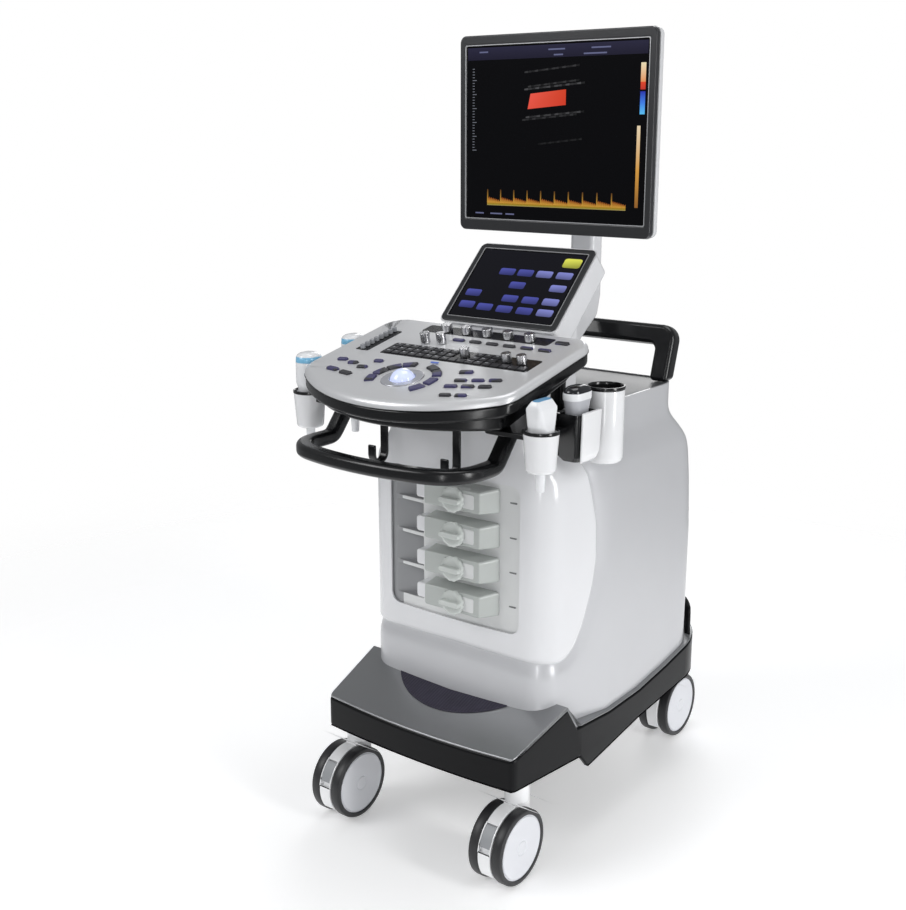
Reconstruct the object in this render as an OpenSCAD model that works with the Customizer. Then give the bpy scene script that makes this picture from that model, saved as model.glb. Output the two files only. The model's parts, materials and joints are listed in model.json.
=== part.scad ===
// Trolley-mounted diagnostic ultrasound machine.
// Millimetres. The front faces -Y, +Z is up, and the origin is on the floor under the middle.

/* [Casters] */
// Diameter of each wheel over its tyre
wheel_d = 125; // [100:1:150]
// Width of each wheel of a twin caster
wheel_w = 18; // [14:1:24]
// Thickness of the tyre
tyre_t = 5; // [3:0.5:8]
// Thickness of the housing between the two wheels
housing_w = 24; // [18:1:32]
// Distance from the swivel axis to the wheel axle
caster_trail = 28; // [20:1:34]
// Radius of the wheel axle
axle_r = 5; // [4:0.5:7]
// Radius of the swivel pin
swivel_r = 8; // [6:0.5:12]
// Distance between the front casters
front_track = 340; // [300:1:360]
// Distance between the rear casters
rear_track = 252; // [220:1:300]

/* [Base] */
// Width of the base along its sides
base_w = 426; // [400:1:520]
// Width of the front edge of the base
base_front_w = 392; // [350:1:480]
// Length of the base from its front to its back
base_len = 654; // [600:1:700]
// Radius of the rear corners of the base
base_rear_r = 110; // [60:1:120]
// Wall of the base casting
base_wall = 5; // [3:0.5:8]
// Height of the caster seats above the floor
caster_seat_z = 172; // [165:1:180]
// Thickness of the deck plate on the base
deck_t = 3; // [2:0.5:5]

/* [Body] */
// Width of the body
body_w = 410; // [380:1:500]
// Width of the front of the body
body_front_w = 384; // [340:1:480]
// Width of the shoulders above the side covers
neck_w = 336; // [300:1:420]
// Height of the top of the body
body_top = 735; // [700:1:760]
// Radius of the bowed front of the body
body_bow_r = 1500; // [900:1:2500]
// Radius of the front corners of the body
body_corner_r = 50; // [30:1:60]
// Radius of the rear corners of the body
body_rear_r = 70; // [40:1:90]
// Wall of the plastic covers
cover_t = 4; // [3:0.5:6]
// Width of the port panel
port_w = 266; // [240:1:290]
// Distance between two probe connectors
port_pitch = 58; // [50:1:62]
// Radius of a connector's lock knob
lock_r = 22; // [18:1:26]

/* [Console] */
// Width of the console
console_w = 408; // [380:1:440]
// Slope of the console's top, in degrees
console_tilt = 12.4; // [8:0.1:14]
// Height of the console's top at its key strip
console_z = 832; // [825:1:900]
// Skin of the console's covers
console_t = 3; // [2:0.5:4]
// Width of the front grab handle
grab_w = 350; // [330:1:400]
// Thickness of the grab handle's bar
grab_t = 22; // [18:1:28]
// Radius of the trackball
trackball_r = 20; // [15:0.5:25]
// Width of the touch panel
touch_w = 232; // [200:1:280]
// Height of the touch panel along its slope
touch_h = 172; // [150:1:185]
// Thickness of the touch panel's housing
touch_t = 52; // [35:1:56]
// Tilt of the touch panel, in degrees
touch_tilt = 43.8; // [35:0.1:55]

/* [Holders] */
// Inside radius of the gel cup
gel_r = 26.5; // [24:0.5:32]
// Height of the gel cup
gel_h = 120; // [90:1:150]
// Outside radius of a probe cup's rim
cup_r = 26.5; // [24:0.5:29]
// Wall of the cups
cup_t = 2.5; // [2:0.5:4]

/* [Monitor] */
// Width of the monitor
monitor_w = 386; // [340:1:440]
// Height of the monitor
monitor_h = 330; // [290:1:350]
// Height of the monitor's tilt axis
monitor_z = 1161; // [1161:1:1260]
// Width of the monitor's post
post_w = 50; // [40:1:70]

/* [Hidden] */
$fn = 64;

// Radial clearance of a shaft in its bore, and the gap between pieces that move past each other
fit = 0.05;
gap = 0.5;
// Longer than any piece, for cuts and prisms
far = 1000;

// Each function key: x, y, turn in degrees, width, height
FUNCTION_KEYS = concat(
    [[-152, -273, 10, 18, 9], [-124, -280, 10, 18, 9], [-96, -290, 10, 18, 9], [-86, -262, 10, 16, 9]],
    [[-139, -311, -8, 24, 10], [-106, -318, -8, 24, 10]],
    [for (i = [0:2]) [96 + 26 * i, -288 + 8 * i, 17, 20, 8]],
    [for (i = [0:2]) [95 + 26 * i, -311 + 7 * i, 17, 20, 9]],
    [for (i = [0:1]) [108 + 24 * i, -341 + 6 * i, 17, 18, 8]],
    [[84, -258, 17, 22, 10], [160, -113, 0, 24, 9]],
    [for (i = [0:5]) [-15 + 33 * i, -147, 0, 22, 8]]
);
// Middle angles of the curved keys around the trackball
ARC_KEYS = [-28, 2, 36, 64, 116, 142, 168, 198];
// Knobs: x, y, radius, height
KNOBS = concat(
    [for (i = [0:4]) [-61 + 41 * i, -117, 9, 13]],
    [[-63, -172, 8, 18], [-35, -166, 8, 18], [41, -204, 8, 15], [120, -204, 8, 15], [148, -204, 8, 15]]
);
// The letter keys: middle, half width and rows; the gain sliders: column and rows
STRIP_X = 30;
STRIP_HALF_W = 138;
STRIP_ROWS = [-221, -207, -193];
TGC_X = -152;
TGC_Y = [for (i = [0:7]) -224 + 11.5 * i];

// ---- Casters ----
wheel_r = wheel_d / 2;
wheel_x = housing_w / 2 + 1;
hood_r = wheel_r;
housing_low = 26;
stem_r = 20.5;
stem_foot_z = wheel_d + 2.5;
pin_depth = 20;
pedal_in_r = hood_r - 4.5;
pedal_low = 16;
pedal_high = 50;
pedal_pin_r = 1.5;
pedal_half_w = housing_w / 2 - 2;
front_stem_y = -234;
rear_stem_y = 327.5;

// ---- Base ----
base_front = -292;
base_back = base_front + base_len;
base_corner_r = 25;
base_bow_r = 1800;
// Top of the deck plate, as points of depth and height from front to back
deck = [[-310, 212], [-147, 264], [-121, 222], [-20, 213], [80, 215], [180, 228], [260, 242], [500, 280]];
keel = [[500, 192], [240, 172], [85, 160], [-89, 135], [-113, 163], [-310, 165]];
bumper_top = 302;
bumper_y = 286;

// ---- Body ----
body_front = -188;
body_back = 310;
neck_back = 38;
shoulder_z = body_top - 120;
seam_back_y = 250;
port_low = 380;
port_high = 628;
port_mid = 512;
port_t = 14;
connector_x = 28;
connector_w = 132;
connector_h = 32;
connector_front = -215;
port_z = [for (i = [0:3]) port_mid + (1.5 - i) * port_pitch];
lock_pin_r = 5;
frame_x = 140;
frame_front = -100;
frame_back = 200;
shelf_t = 3;
shelf_z = [240, 320, 620];
rack_h = 270;
io_w = 180;
io_low = 300;
io_high = 430;

// ---- Console ----
strip_y = -185;
console_front = -390;
console_back = -79;
console_bow_r = 300;
console_corner_r = 45;
console_rear_r = 40;
rim_h = 12;
lip_drop = 32;
tray_inset = 24;
console_slope = tan(console_tilt);
// Underside of the console, as points of depth and drop below the top
belly = [[-500, 45], [-400, 45], [-280, 62], [-130, 52], [-83, 35], [-40, 32]];
board_drop = 15;
board_t = 2;
key_rise = 3;
key_gap = 0.6;
trackball_y = -307;
ring_r = 31;
arc_in_r = 46;
arc_out_r = 60;
column_w = 200;
holder_z = 738;
holder_t = 8;
cup_x = console_w / 2 + 34;
front_cup_y = -285;
square_y = -191;
gel_y = -109;
left_front_y = -275;
left_rear_y = -165;
left_cup_x = console_w / 2 + 22;
cup_top = 754;
cup_h = 61;
gel_top = 793;
tail_r = 7.5;
linear_top = 800;
broad_w = 38;
grab_front = -418;
grab_z = 678;
hook_x = [-30, 110];
hook_y = -313;

// ---- Touch panel ----
touch_foot = [-69, 858];
touch_rim = 10;
touch_lip = 3;

// ---- Monitor ----
monitor_front = 89;
monitor_frame = 12;
monitor_rear = monitor_front + 47;
tilt_y = monitor_rear + 12;
tilt_pin_r = 6;
swivel_y = 209;
post_pin_r = 12;
post_front = swivel_y - 17;
post_back = swivel_y + 18;
collar_low = monitor_z - 31;
collar_high = monitor_z + 29;

// Height of the deck's top at depth y
function deck_z(y) = lookup(y, deck);
// Height of the console's top at depth y
function top_z(y) = console_z + (y - strip_y) * console_slope;

// Prism with its outline in the YZ plane, symmetric about x = 0
module side_prism(width) {
    translate([-width / 2, 0, 0])
        rotate([90, 0, 90])
            linear_extrude(width) children();
}

// Prism with its outline in the XZ plane, between two depths
module front_prism(y0, y1) {
    translate([0, y1, 0])
        rotate([90, 0, 0])
            linear_extrude(y1 - y0) children();
}

// Rectangle centred on the origin with round corners
module round_rect(w, h, r) {
    square([w - 2 * r, h], center = true);
    square([w, h - 2 * r], center = true);
    for (x = [-1, 1], y = [-1, 1])
        translate([x * (w / 2 - r), y * (h / 2 - r)]) circle(r);
}

// Outline with a bowed front, round corners and a flat back
module bowed_plan(half_w, front, back, bow_r, corner_r, rear_r) {
    bow_y = front + bow_r;
    corner_x = half_w - corner_r;
    corner_y = bow_y - sqrt(pow(bow_r - corner_r, 2) - pow(corner_x, 2));
    edge = [corner_x, corner_y - bow_y] * bow_r / (bow_r - corner_r);
    intersection() {
        translate([0, bow_y]) circle(bow_r, $fn = 256);
        polygon([[0, corner_y], [-corner_x, corner_y], [-edge.x, bow_y + edge.y],
            [-edge.x * 2, bow_y + edge.y * 2], [edge.x * 2, bow_y + edge.y * 2],
            [edge.x, bow_y + edge.y], [corner_x, corner_y]]);
    }
    for (side = [-1, 1]) {
        translate([side * corner_x, corner_y]) circle(corner_r);
        translate([side * (half_w - rear_r), back - rear_r]) circle(rear_r);
    }
    translate([-half_w, corner_y]) square([2 * half_w, back - rear_r - corner_y]);
    translate([rear_r - half_w, corner_y]) square([2 * (half_w - rear_r), back - corner_y]);
}

// ================= Casters =================

// Puts a caster's parts at its stem, with the wheels ahead of it or behind it
module at_caster(side, front) {
    track = front ? front_track : rear_track;
    translate([side * track / 2, front ? front_stem_y : rear_stem_y, 0])
        rotate([0, 0, front ? 0 : 180]) children();
}

// Solid of revolution about the wheel axle, between two distances along it
module wheel_disc(r, x0, x1) {
    translate([x0, -caster_trail, wheel_r])
        rotate([0, 90, 0]) cylinder(r = r, h = x1 - x0);
}

// Sector of a ring about the wheel axle
module hood_sector(r0, r1, low, high, half_w) {
    translate([half_w, -caster_trail, wheel_r])
        rotate([0, -90, 0])
            linear_extrude(2 * half_w)
                intersection() {
                    difference() {
                        circle(r1);
                        circle(r0);
                    }
                    polygon([[0, 0], 100 * [sin(low), -cos(low)], 100 * [sin(high), -cos(high)]]);
                }
}

module pedal_pin(r, half_w) {
    pin_ring = (pedal_in_r + hood_r) / 2;
    translate([-half_w, -caster_trail - pin_ring * cos(pedal_low + 3), wheel_r + pin_ring * sin(pedal_low + 3)])
        rotate([0, 90, 0]) cylinder(r = r, h = 2 * half_w);
}

module caster_housing(pedal) {
    color("white")
    difference() {
        union() {
            wheel_disc(hood_r, -housing_w / 2, housing_w / 2);
            translate([-housing_w / 2, -stem_r, wheel_r]) cube([housing_w, 2 * stem_r, stem_foot_z - wheel_r + 1]);
            translate([0, 0, stem_foot_z]) cylinder(r = stem_r, h = caster_seat_z - gap - stem_foot_z);
            translate([0, 0, stem_foot_z]) cylinder(r = swivel_r, h = caster_seat_z + pin_depth - 2 - stem_foot_z);
        }
        translate([-far / 2, -far / 2, -far]) cube([far, far, far + housing_low]);
        wheel_disc(axle_r + fit, -housing_w, housing_w);
        if (pedal) {
            hood_sector(pedal_in_r - 1.5, hood_r + 5, pedal_low - 8, pedal_high + 2, pedal_half_w + gap);
            pedal_pin(pedal_pin_r + fit, housing_w / 2 - 0.4);
        }
    }
}

module caster_hubs() {
    color("gainsboro") {
        for (side = [-1, 1])
            difference() {
                wheel_disc(wheel_r - tyre_t, side > 0 ? wheel_x : -wheel_x - wheel_w,
                    side > 0 ? wheel_x + wheel_w : -wheel_x);
                wheel_disc(wheel_r - tyre_t - 4, side > 0 ? wheel_x + wheel_w - 1.5 : -wheel_x - wheel_w - 1,
                    side > 0 ? wheel_x + wheel_w + 1 : -wheel_x - wheel_w + 1.5);
            }
        wheel_disc(axle_r, -wheel_x - 2, wheel_x + 2);
    }
}

module caster_tyres() {
    color("#1a1a1c")
    for (x0 = [wheel_x, -wheel_x - wheel_w])
        difference() {
            wheel_disc(wheel_r, x0, x0 + wheel_w);
            wheel_disc(wheel_r - tyre_t, x0 - 1, x0 + wheel_w + 1);
        }
}

module brake_pedal() {
    color("silver") {
        hood_sector(pedal_in_r, hood_r, pedal_low, pedal_high, pedal_half_w);
        pedal_pin(pedal_pin_r, housing_w / 2 - 0.5);
    }
}

// ================= Base =================

module base_plan(inset) {
    front_r = base_corner_r - min(inset, base_corner_r - 5);
    intersection() {
        hull() {
            for (side = [-1, 1]) {
                translate([side * (base_front_w / 2 - inset - front_r), base_front + inset + front_r])
                    circle(front_r);
                translate([side * (base_w / 2 - base_rear_r), base_back - base_rear_r])
                    circle(base_rear_r - inset);
                translate([side * (base_w / 2 - inset), -110]) circle(0.01, $fn = 4);
            }
        }
        translate([0, base_front + inset + base_bow_r]) circle(base_bow_r, $fn = 360);
    }
}

// Everything between the keel and a level below the deck's top
module base_body(inset, drop) {
    intersection() {
        linear_extrude(far) base_plan(inset);
        side_prism(far) polygon(concat([for (p = deck) [p.x, p.y - drop]], keel));
    }
}

// Upright lip around the back of the base, which keeps the body off walls
module rear_bumper(inset, clearance) {
    difference() {
        intersection() {
            linear_extrude(far) base_plan(inset - clearance);
            side_prism(far)
                polygon([[bumper_y, deck_z(bumper_y) - deck_t - 2], [bumper_y + 18, bumper_top - 8],
                    [bumper_y + 45, bumper_top],
                    [500, bumper_top], [500, deck_z(500) - deck_t - 2]]);
        }
        translate([0, 0, -1]) linear_extrude(far) base_plan(inset + 9 + clearance);
    }
}

module base_shell() {
    stems = [for (side = [-1, 1]) [side * front_track / 2, front_stem_y],
        for (side = [-1, 1]) [side * rear_track / 2, rear_stem_y]];
    color("#15171b")
    difference() {
        union() {
            difference() {
                base_body(0, deck_t);
                intersection() {
                    translate([0, 0, -1]) linear_extrude(far) base_plan(base_wall);
                    side_prism(far)
                        polygon(concat([for (p = deck) [p.x, p.y - deck_t - base_wall]], [[500, -1], [-310, -1]]));
                }
            }
            rear_bumper(5, 0);
            intersection() {
                for (stem = stems)
                    translate([stem.x, stem.y, caster_seat_z]) cylinder(r = 28, h = 100);
                side_prism(far) polygon(concat([for (p = deck) [p.x, p.y - deck_t]], [[500, 0], [-310, 0]]));
            }
        }
        for (stem = stems)
            translate([stem.x, stem.y, caster_seat_z - 10]) cylinder(r = swivel_r + fit, h = 10 + pin_depth);
    }
}

module deck_plate() {
    color("slategray")
    difference() {
        intersection() {
            linear_extrude(far) base_plan(1);
            side_prism(far) polygon(concat(deck, [for (i = [len(deck) - 1:-1:0]) [deck[i].x, deck[i].y - deck_t]]));
        }
        rear_bumper(5, 0);
    }
}

module foot_mat() {
    mat_r = 150;
    color("#2b2833")
    difference() {
        intersection() {
            translate([0, -86, 0]) cylinder(r = mat_r, h = far);
            side_prism(far)
                polygon([[-310, deck_z(-310)], [-147, deck_z(-147)], [-147, deck_z(-147) + 2], [-310, deck_z(-310) + 2]]);
        }
        translate([0, 0, -1]) linear_extrude(far) body_plan(-1);
    }
}

// ================= Body =================

module body_plan(inset) {
    corner_x = body_front_w / 2 - body_corner_r;
    corner_y = body_front + body_bow_r - sqrt(pow(body_bow_r - body_corner_r, 2) - pow(corner_x, 2));
    intersection() {
        hull() {
            for (side = [-1, 1]) {
                translate([side * corner_x, corner_y]) circle(body_corner_r - inset);
                translate([side * (body_w / 2 - body_rear_r), body_back - body_rear_r]) circle(body_rear_r - inset);
                translate([side * (body_w / 2 - inset), -20]) circle(0.01, $fn = 4);
            }
            translate([0, body_front + inset]) circle(0.01, $fn = 4);
        }
        translate([0, body_front + body_bow_r]) circle(body_bow_r - inset, $fn = 360);
    }
}

// Front view of the body: straight sides, then shoulders up to the neck
module body_front_view(inset) {
    side = [[body_w / 2, 0], [body_w / 2, shoulder_z], [body_w / 2 - 3, shoulder_z + 25],
        [(body_w + neck_w) / 4, shoulder_z + 46], [neck_w / 2 + 6, shoulder_z + 57],
        [neck_w / 2, shoulder_z + 72], [neck_w / 2, far]];
    polygon(concat([for (p = side) [p.x - inset, p.y]],
        [for (i = [len(side) - 1:-1:0]) [inset - side[i].x, side[i].y]]));
}

// Side view of the body: it stands on the deck and its back leans forward at the top
module body_side_view(inset, low) {
    polygon(concat([for (p = deck) if (p.x < 400) [p.x, p.y - low]],
        [[body_back - inset + 90, deck_z(400) - low], [body_back - inset, 460], [body_back - inset - 10, 560],
            [body_back - inset - 23, shoulder_z + 15], [body_back - inset - 34, shoulder_z + 50],
            [body_back - inset - neck_back, shoulder_z + 70], [body_back - inset - neck_back, body_top + low],
            [-310, body_top + low]]));
}

module body_solid(inset) {
    intersection() {
        linear_extrude(far) body_plan(inset);
        front_prism(-400, 500) body_front_view(inset);
        side_prism(far) body_side_view(inset, inset > 0 ? 20 : 0);
    }
}

module body_shell() {
    difference() {
        body_solid(0);
        body_solid(cover_t);
    }
}

// Side view of everything ahead of the seam between the front cover and the side covers
module front_zone() {
    side_prism(far)
        polygon([[-400, 345], [-170, 330], [-125, 326], [-100, 342], [-72, 385], [-52, 440], [-45, 490],
            [-51, 556], [-75, 640], [-92, body_top + 50], [-400, body_top + 50]]);
}

// Block that bounds the port panel's opening in the front cover
module port_block() {
    front_prism(-250, -100)
        translate([0, (port_low + port_high) / 2]) round_rect(port_w, port_high - port_low, 16);
}

module front_cover() {
    color("whitesmoke")
    difference() {
        intersection() {
            body_shell();
            front_zone();
        }
        port_block();
    }
}

module side_cover(side) {
    color("lightgray")
    difference() {
        body_shell();
        front_zone();
        translate([-far / 2, seam_back_y, 0]) cube(far);
        translate([side > 0 ? -far : 0, -far / 2, 0]) cube(far);
    }
}

module io_block(depth) {
    front_prism(body_back - depth, body_back + 50)
        translate([0, (io_low + io_high) / 2]) round_rect(io_w, io_high - io_low, 10);
}

module rear_cover() {
    color("lightgray")
    difference() {
        intersection() {
            body_shell();
            translate([-far / 2, seam_back_y, 0]) cube(far);
        }
        io_block(20);
        for (i = [0:7])
            translate([-70, body_back - 30, 480 + 10 * i]) cube([140, 60, 4]);
    }
}

module top_cover() {
    color("dimgray")
    intersection() {
        linear_extrude(far) body_plan(cover_t);
        front_prism(-400, 500) body_front_view(cover_t);
        side_prism(far)
            polygon([[-310, body_top - 6], [body_back - cover_t - neck_back, body_top - 6],
                [body_back - cover_t - neck_back, body_top], [-310, body_top]]);
    }
}

module bow_cylinder(inset) {
    translate([0, body_front + body_bow_r, 0]) cylinder(r = body_bow_r - inset, h = far, $fn = 360);
}

module port_panel() {
    color("#c9cfc9")
    difference() {
        intersection() {
            port_block();
            bow_cylinder(2);
        }
        translate([0, 0, -1]) bow_cylinder(2 + port_t);
        for (z = port_z)
            translate([-port_w / 2 + 6, body_front - 14, z])
                rotate([0, 90, 0]) cylinder(r = 24, h = 66);
    }
}

module probe_connectors() {
    color("#9aa59c")
    difference() {
        for (z = port_z)
            front_prism(connector_front, body_front + 60)
                translate([connector_x, z]) round_rect(connector_w, connector_h, 4);
        translate([0, 0, -1]) bow_cylinder(2);
        for (z = port_z)
            translate([connector_x, connector_front + 18, z])
                rotate([90, 0, 0]) cylinder(r = lock_pin_r + fit, h = 40);
    }
}

module connector_lock(i) {
    color("#b4beb6")
    translate([connector_x, connector_front, port_z[i]])
        rotate([90, 0, 0]) {
            translate([0, 0, gap]) cylinder(r = lock_r, h = 8);
            translate([0, 0, gap + 8]) linear_extrude(9) round_rect(2 * lock_r - 4, 9, 4);
            translate([0, 0, -16]) cylinder(r = lock_pin_r, h = 17);
        }
}

module rear_handle() {
    lean = 17;
    bar = 36;
    outer_w = neck_w - 10;
    tall = 104;
    color("#111214")
    intersection() {
        translate([0, 222, body_top])
            rotate([90 - lean, 0, 0])
                translate([0, 0, -32])
                    linear_extrude(32)
                        difference() {
                            translate([0, tall / 2 - 30]) round_rect(outer_w, tall + 60, 28);
                            translate([0, (tall - bar) / 2 - 30]) round_rect(outer_w - 2 * bar, tall - bar + 60, 12);
                            translate([-far / 2, -far - 20]) square(far);
                        }
        translate([-far / 2, -far / 2, body_top]) cube(far);
    }
}

module rear_io_panel() {
    color("#3a3d42")
    difference() {
        intersection() {
            io_block(cover_t);
            translate([-far / 2, body_back - far - 1, 0]) cube(far);
        }
        // Mains inlet, its switch and four sockets
        translate([-70, body_back - 3, io_low + 20]) cube([28, 10, 20]);
        for (i = [0:3])
            translate([-20 + 26 * i, body_back - 3, io_low + 24]) cube([15, 10, 12]);
    }
}

// ================= Inside =================

module inner_frame() {
    color("silver")
    difference() {
        union() {
            for (x = [-frame_x, frame_x], y = [frame_front, frame_back])
                translate([x - 10, y - 10, 150]) cube([20, 20, body_top - 10 - 150]);
            for (z = concat(shelf_z, [body_top - 10]))
                translate([-frame_x - 10, frame_front - 10, z])
                    cube([2 * frame_x + 20, frame_back - frame_front + 20, shelf_t]);
            translate([-frame_x, frame_front, body_top - 10]) cube([2 * frame_x, frame_back - frame_front, 4]);
        }
        side_prism(far) polygon(concat(deck, [[500, 0], [-310, 0]]));
    }
}

module electronics_rack() {
    rack_w = 220;
    rack_d = 210;
    rack_z = shelf_z[1] + shelf_t;
    color("darkseagreen") {
        translate([-rack_w / 2, -50, rack_z]) cube([rack_w, rack_d, 3]);
        translate([-rack_w / 2, -50, rack_z + rack_h - 3]) cube([rack_w, rack_d, 3]);
        for (i = [0:6])
            translate([-rack_w / 2 + i * (rack_w - 2) / 6, -50, rack_z + 3]) cube([2, rack_d, rack_h - 6]);
    }
}

module power_supply() {
    supply_z = shelf_z[0] + shelf_t;
    color("silver")
    difference() {
        translate([-110, -60, supply_z]) cube([220, 200, shelf_z[1] - supply_z - 8]);
        for (i = [0:5])
            translate([-90 + 32 * i, -61, supply_z + 12]) cube([18, 10, 40]);
    }
}

module cooling_fan() {
    fan_z = shelf_z[1] + shelf_t + rack_h / 2;
    color("#26282c")
    translate([0, 160, fan_z])
        rotate([-90, 0, 0]) {
            linear_extrude(25)
                difference() {
                    round_rect(120, 120, 8);
                    circle(57);
                }
            translate([0, 0, 1]) cylinder(r = 19, h = 22);
            for (a = [0:60:359])
                rotate([0, 0, a]) translate([-1.2, 17, 4]) cube([2.4, 38, 16]);
            for (a = [45, 225])
                rotate([0, 0, a]) translate([-2, 15, 1]) cube([4, 43, 2]);
        }
}

// ================= Console =================

// Frame whose origin is on the console's top at the key strip, with Z out of the surface
module on_console(x, y, z = 0) {
    translate([0, strip_y, console_z])
        rotate([console_tilt, 0, 0])
            translate([x, (y - strip_y) / cos(console_tilt), z]) children();
}

module console_plan(inset) {
    bowed_plan(console_w / 2 - inset, console_front + inset, console_back - inset, console_bow_r - inset,
        console_corner_r - inset, console_rear_r - inset);
}

// Sloped layer of the console between two depths below its top
module console_layer(drop0, drop1) {
    side_prism(far)
        polygon([[-500, top_z(-500) - drop0], [0, top_z(0) - drop0], [0, top_z(0) - drop1], [-500, top_z(-500) - drop1]]);
}

module console_belly(inset) {
    side_prism(far)
        polygon(concat([for (p = belly) [p.x, top_z(p.x) - p.y + inset]],
            [[0, top_z(0) - rim_h + inset], [-500, top_z(-500) - rim_h + inset]]));
}

// The console's black underside: a lip under the rim, and a deeper tray inside it
module console_under(inset) {
    intersection() {
        linear_extrude(far) console_plan(1 + inset);
        console_layer(lip_drop - inset, rim_h - inset);
    }
    intersection() {
        linear_extrude(far) console_plan(tray_inset + inset);
        console_belly(inset);
    }
}

// Everything that the console's two covers fill
module console_envelope() {
    intersection() {
        linear_extrude(far) console_plan(0);
        console_layer(rim_h + 1, 0);
    }
    console_under(0);
}

// Neck that carries the console, with a shelf behind it for the touch panel
module console_column() {
    back = touch_point(0.5, -touch_t);
    color("white")
    difference() {
        side_prism(column_w)
            polygon([[-150, body_top], [-150, top_z(-150) - 6], [console_back - 5, top_z(console_back) - 6],
                touch_point(0, -touch_t), back, [back.x, body_top]]);
        console_envelope();
    }
}

module console_base() {
    color("#121316")
    difference() {
        union() {
            console_under(0);
            for (side = [-1, 1], y = [front_cup_y + 20, gel_y - 10])
                translate([side * 158, y, holder_z + holder_t])
                    cylinder(r = 12, h = top_z(y) - lip_drop + 1 - holder_z - holder_t);
        }
        console_under(console_t);
    }
}

module function_key_outlines(grow) {
    for (k = FUNCTION_KEYS)
        translate([k[0], (k[1] - strip_y) / cos(console_tilt)])
            rotate(k[2]) round_rect(k[3] + 2 * grow, k[4] + 2 * grow, 3.4);
    translate([0, (trackball_y - strip_y) / cos(console_tilt)])
        for (a = ARC_KEYS)
            intersection() {
                difference() {
                    circle(arc_out_r + grow);
                    circle(arc_in_r - grow);
                }
                polygon([[0, 0], 90 * [cos(a - 12 - grow), sin(a - 12 - grow)], 90 * [cos(a + 12 + grow), sin(a + 12 + grow)]]);
            }
}

module console_top() {
    strip_mid = (STRIP_ROWS[0] + STRIP_ROWS[2]) / 2;
    color("silver")
    difference() {
        intersection() {
            linear_extrude(far) console_plan(0);
            console_layer(rim_h, 0);
        }
        intersection() {
            linear_extrude(far) console_plan(console_t);
            console_layer(rim_h + 5, console_t);
        }
        on_console(0, strip_y, -20) linear_extrude(40) function_key_outlines(key_gap);
        on_console(0, trackball_y, -20) cylinder(r = ring_r, h = 40);
        on_console(STRIP_X, strip_mid, -20)
            linear_extrude(40) round_rect(2 * STRIP_HALF_W + 6, 46, 5);
        for (y = TGC_Y)
            on_console(TGC_X, y, -20) linear_extrude(40) round_rect(26, 3.4, 1.5);
        for (k = KNOBS)
            if (k[1] > -190) on_console(k[0], k[1], -20) cylinder(r = 4, h = 40);
    }
}

module control_board() {
    color("darkgreen")
    difference() {
        intersection() {
            linear_extrude(far) console_plan(1 + console_t);
            console_layer(board_drop + board_t, board_drop);
        }
        on_console(0, trackball_y, -60) cylinder(r = trackball_r + 3, h = 80);
    }
}

module trackball_ring() {
    color("gray")
    on_console(0, trackball_y)
        rotate_extrude()
            polygon([[trackball_r + 0.5, -6], [ring_r, -6], [ring_r, 0], [ring_r + 3, 0], [ring_r + 2, 1.5],
                [trackball_r + 0.5, 1.5]]);
}

module trackball() {
    color("lightsteelblue")
    on_console(0, trackball_y, -5) sphere(trackball_r);
}

module letter_keys() {
    pitch = 2 * STRIP_HALF_W / 17;
    color("#202227")
    for (y = STRIP_ROWS, i = [0:16]) {
        x = STRIP_X + (i - 8) * pitch;
        clear = [for (k = KNOBS) if (norm([k[0] - x, k[1] - y]) < k[2] + pitch / 2 + 1) 1];
        if (len(clear) == 0)
            on_console(x, y, -9) linear_extrude(9 + key_rise - 1) round_rect(pitch - 2, 12, 1.5);
    }
}

module function_keys() {
    color("#23263a")
    on_console(0, strip_y, -9) linear_extrude(9 + key_rise) function_key_outlines(0);
}

module tgc_sliders() {
    color("#1e2025")
    for (y = TGC_Y) {
        on_console(TGC_X, y, -9) linear_extrude(12) round_rect(4, 2, 0.8);
        on_console(TGC_X, y, 1) linear_extrude(7) round_rect(7, 7, 2);
    }
}

module encoder_knobs() {
    board_top = board_drop * cos(console_tilt);
    color("silver")
    for (k = KNOBS) {
        on_console(k[0], k[1], -board_top) cylinder(r = 3, h = board_top + 2);
        on_console(k[0], k[1], gap) cylinder(r = k[2], h = k[3]);
    }
}

// Bars of the front grab handle, which hangs from the holder plates
module front_handle() {
    half_w = grab_w / 2;
    arm_y = front_cup_y + 32;
    color("#111214") {
        translate([0, 0, grab_z])
            linear_extrude(grab_t)
                difference() {
                    bowed_plan(half_w, grab_front, -200, 500, 50, 20);
                    bowed_plan(half_w - 24, grab_front + 24, -100, 476, 26, 20);
                    translate([-far / 2, -290]) square(far);
                }
        for (side = [-1, 1])
            translate([side * (half_w - 12), 0, 0])
                side_prism(24)
                    polygon([[-290, grab_z], [-290, grab_z + grab_t], [arm_y - 16, holder_z], [arm_y + 12, holder_z],
                        [arm_y + 12, holder_z - 10], [-270, grab_z]]);
    }
}

module cable_hooks() {
    hook_low = 690;
    hook_r = 17;
    color("#111214")
    for (x = hook_x)
        translate([x, 0, 0])
            side_prism(14)
                difference() {
                    union() {
                        translate([hook_y - hook_r, hook_low]) circle(hook_r);
                        translate([hook_y - 5, hook_low]) square([5, top_z(hook_y) - 40 - hook_low]);
                        translate([hook_y - 2 * hook_r, hook_low]) square([5, 14]);
                    }
                    translate([hook_y - hook_r, hook_low]) circle(hook_r - 5);
                    translate([hook_y - 2 * hook_r + 5, hook_low]) square([2 * hook_r - 10, 40]);
                    polygon([for (p = belly) [p.x, top_z(p.x) - p.y], [0, 900], [-500, 900]]);
                }
}

// ================= Touch panel =================

// Point in the YZ plane: along the slope from the foot, and out of the front face
function touch_point(part, out) = [
    touch_foot.x + part * touch_h * cos(touch_tilt) - out * sin(touch_tilt),
    touch_foot.y + part * touch_h * sin(touch_tilt) + out * cos(touch_tilt)
];

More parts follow.
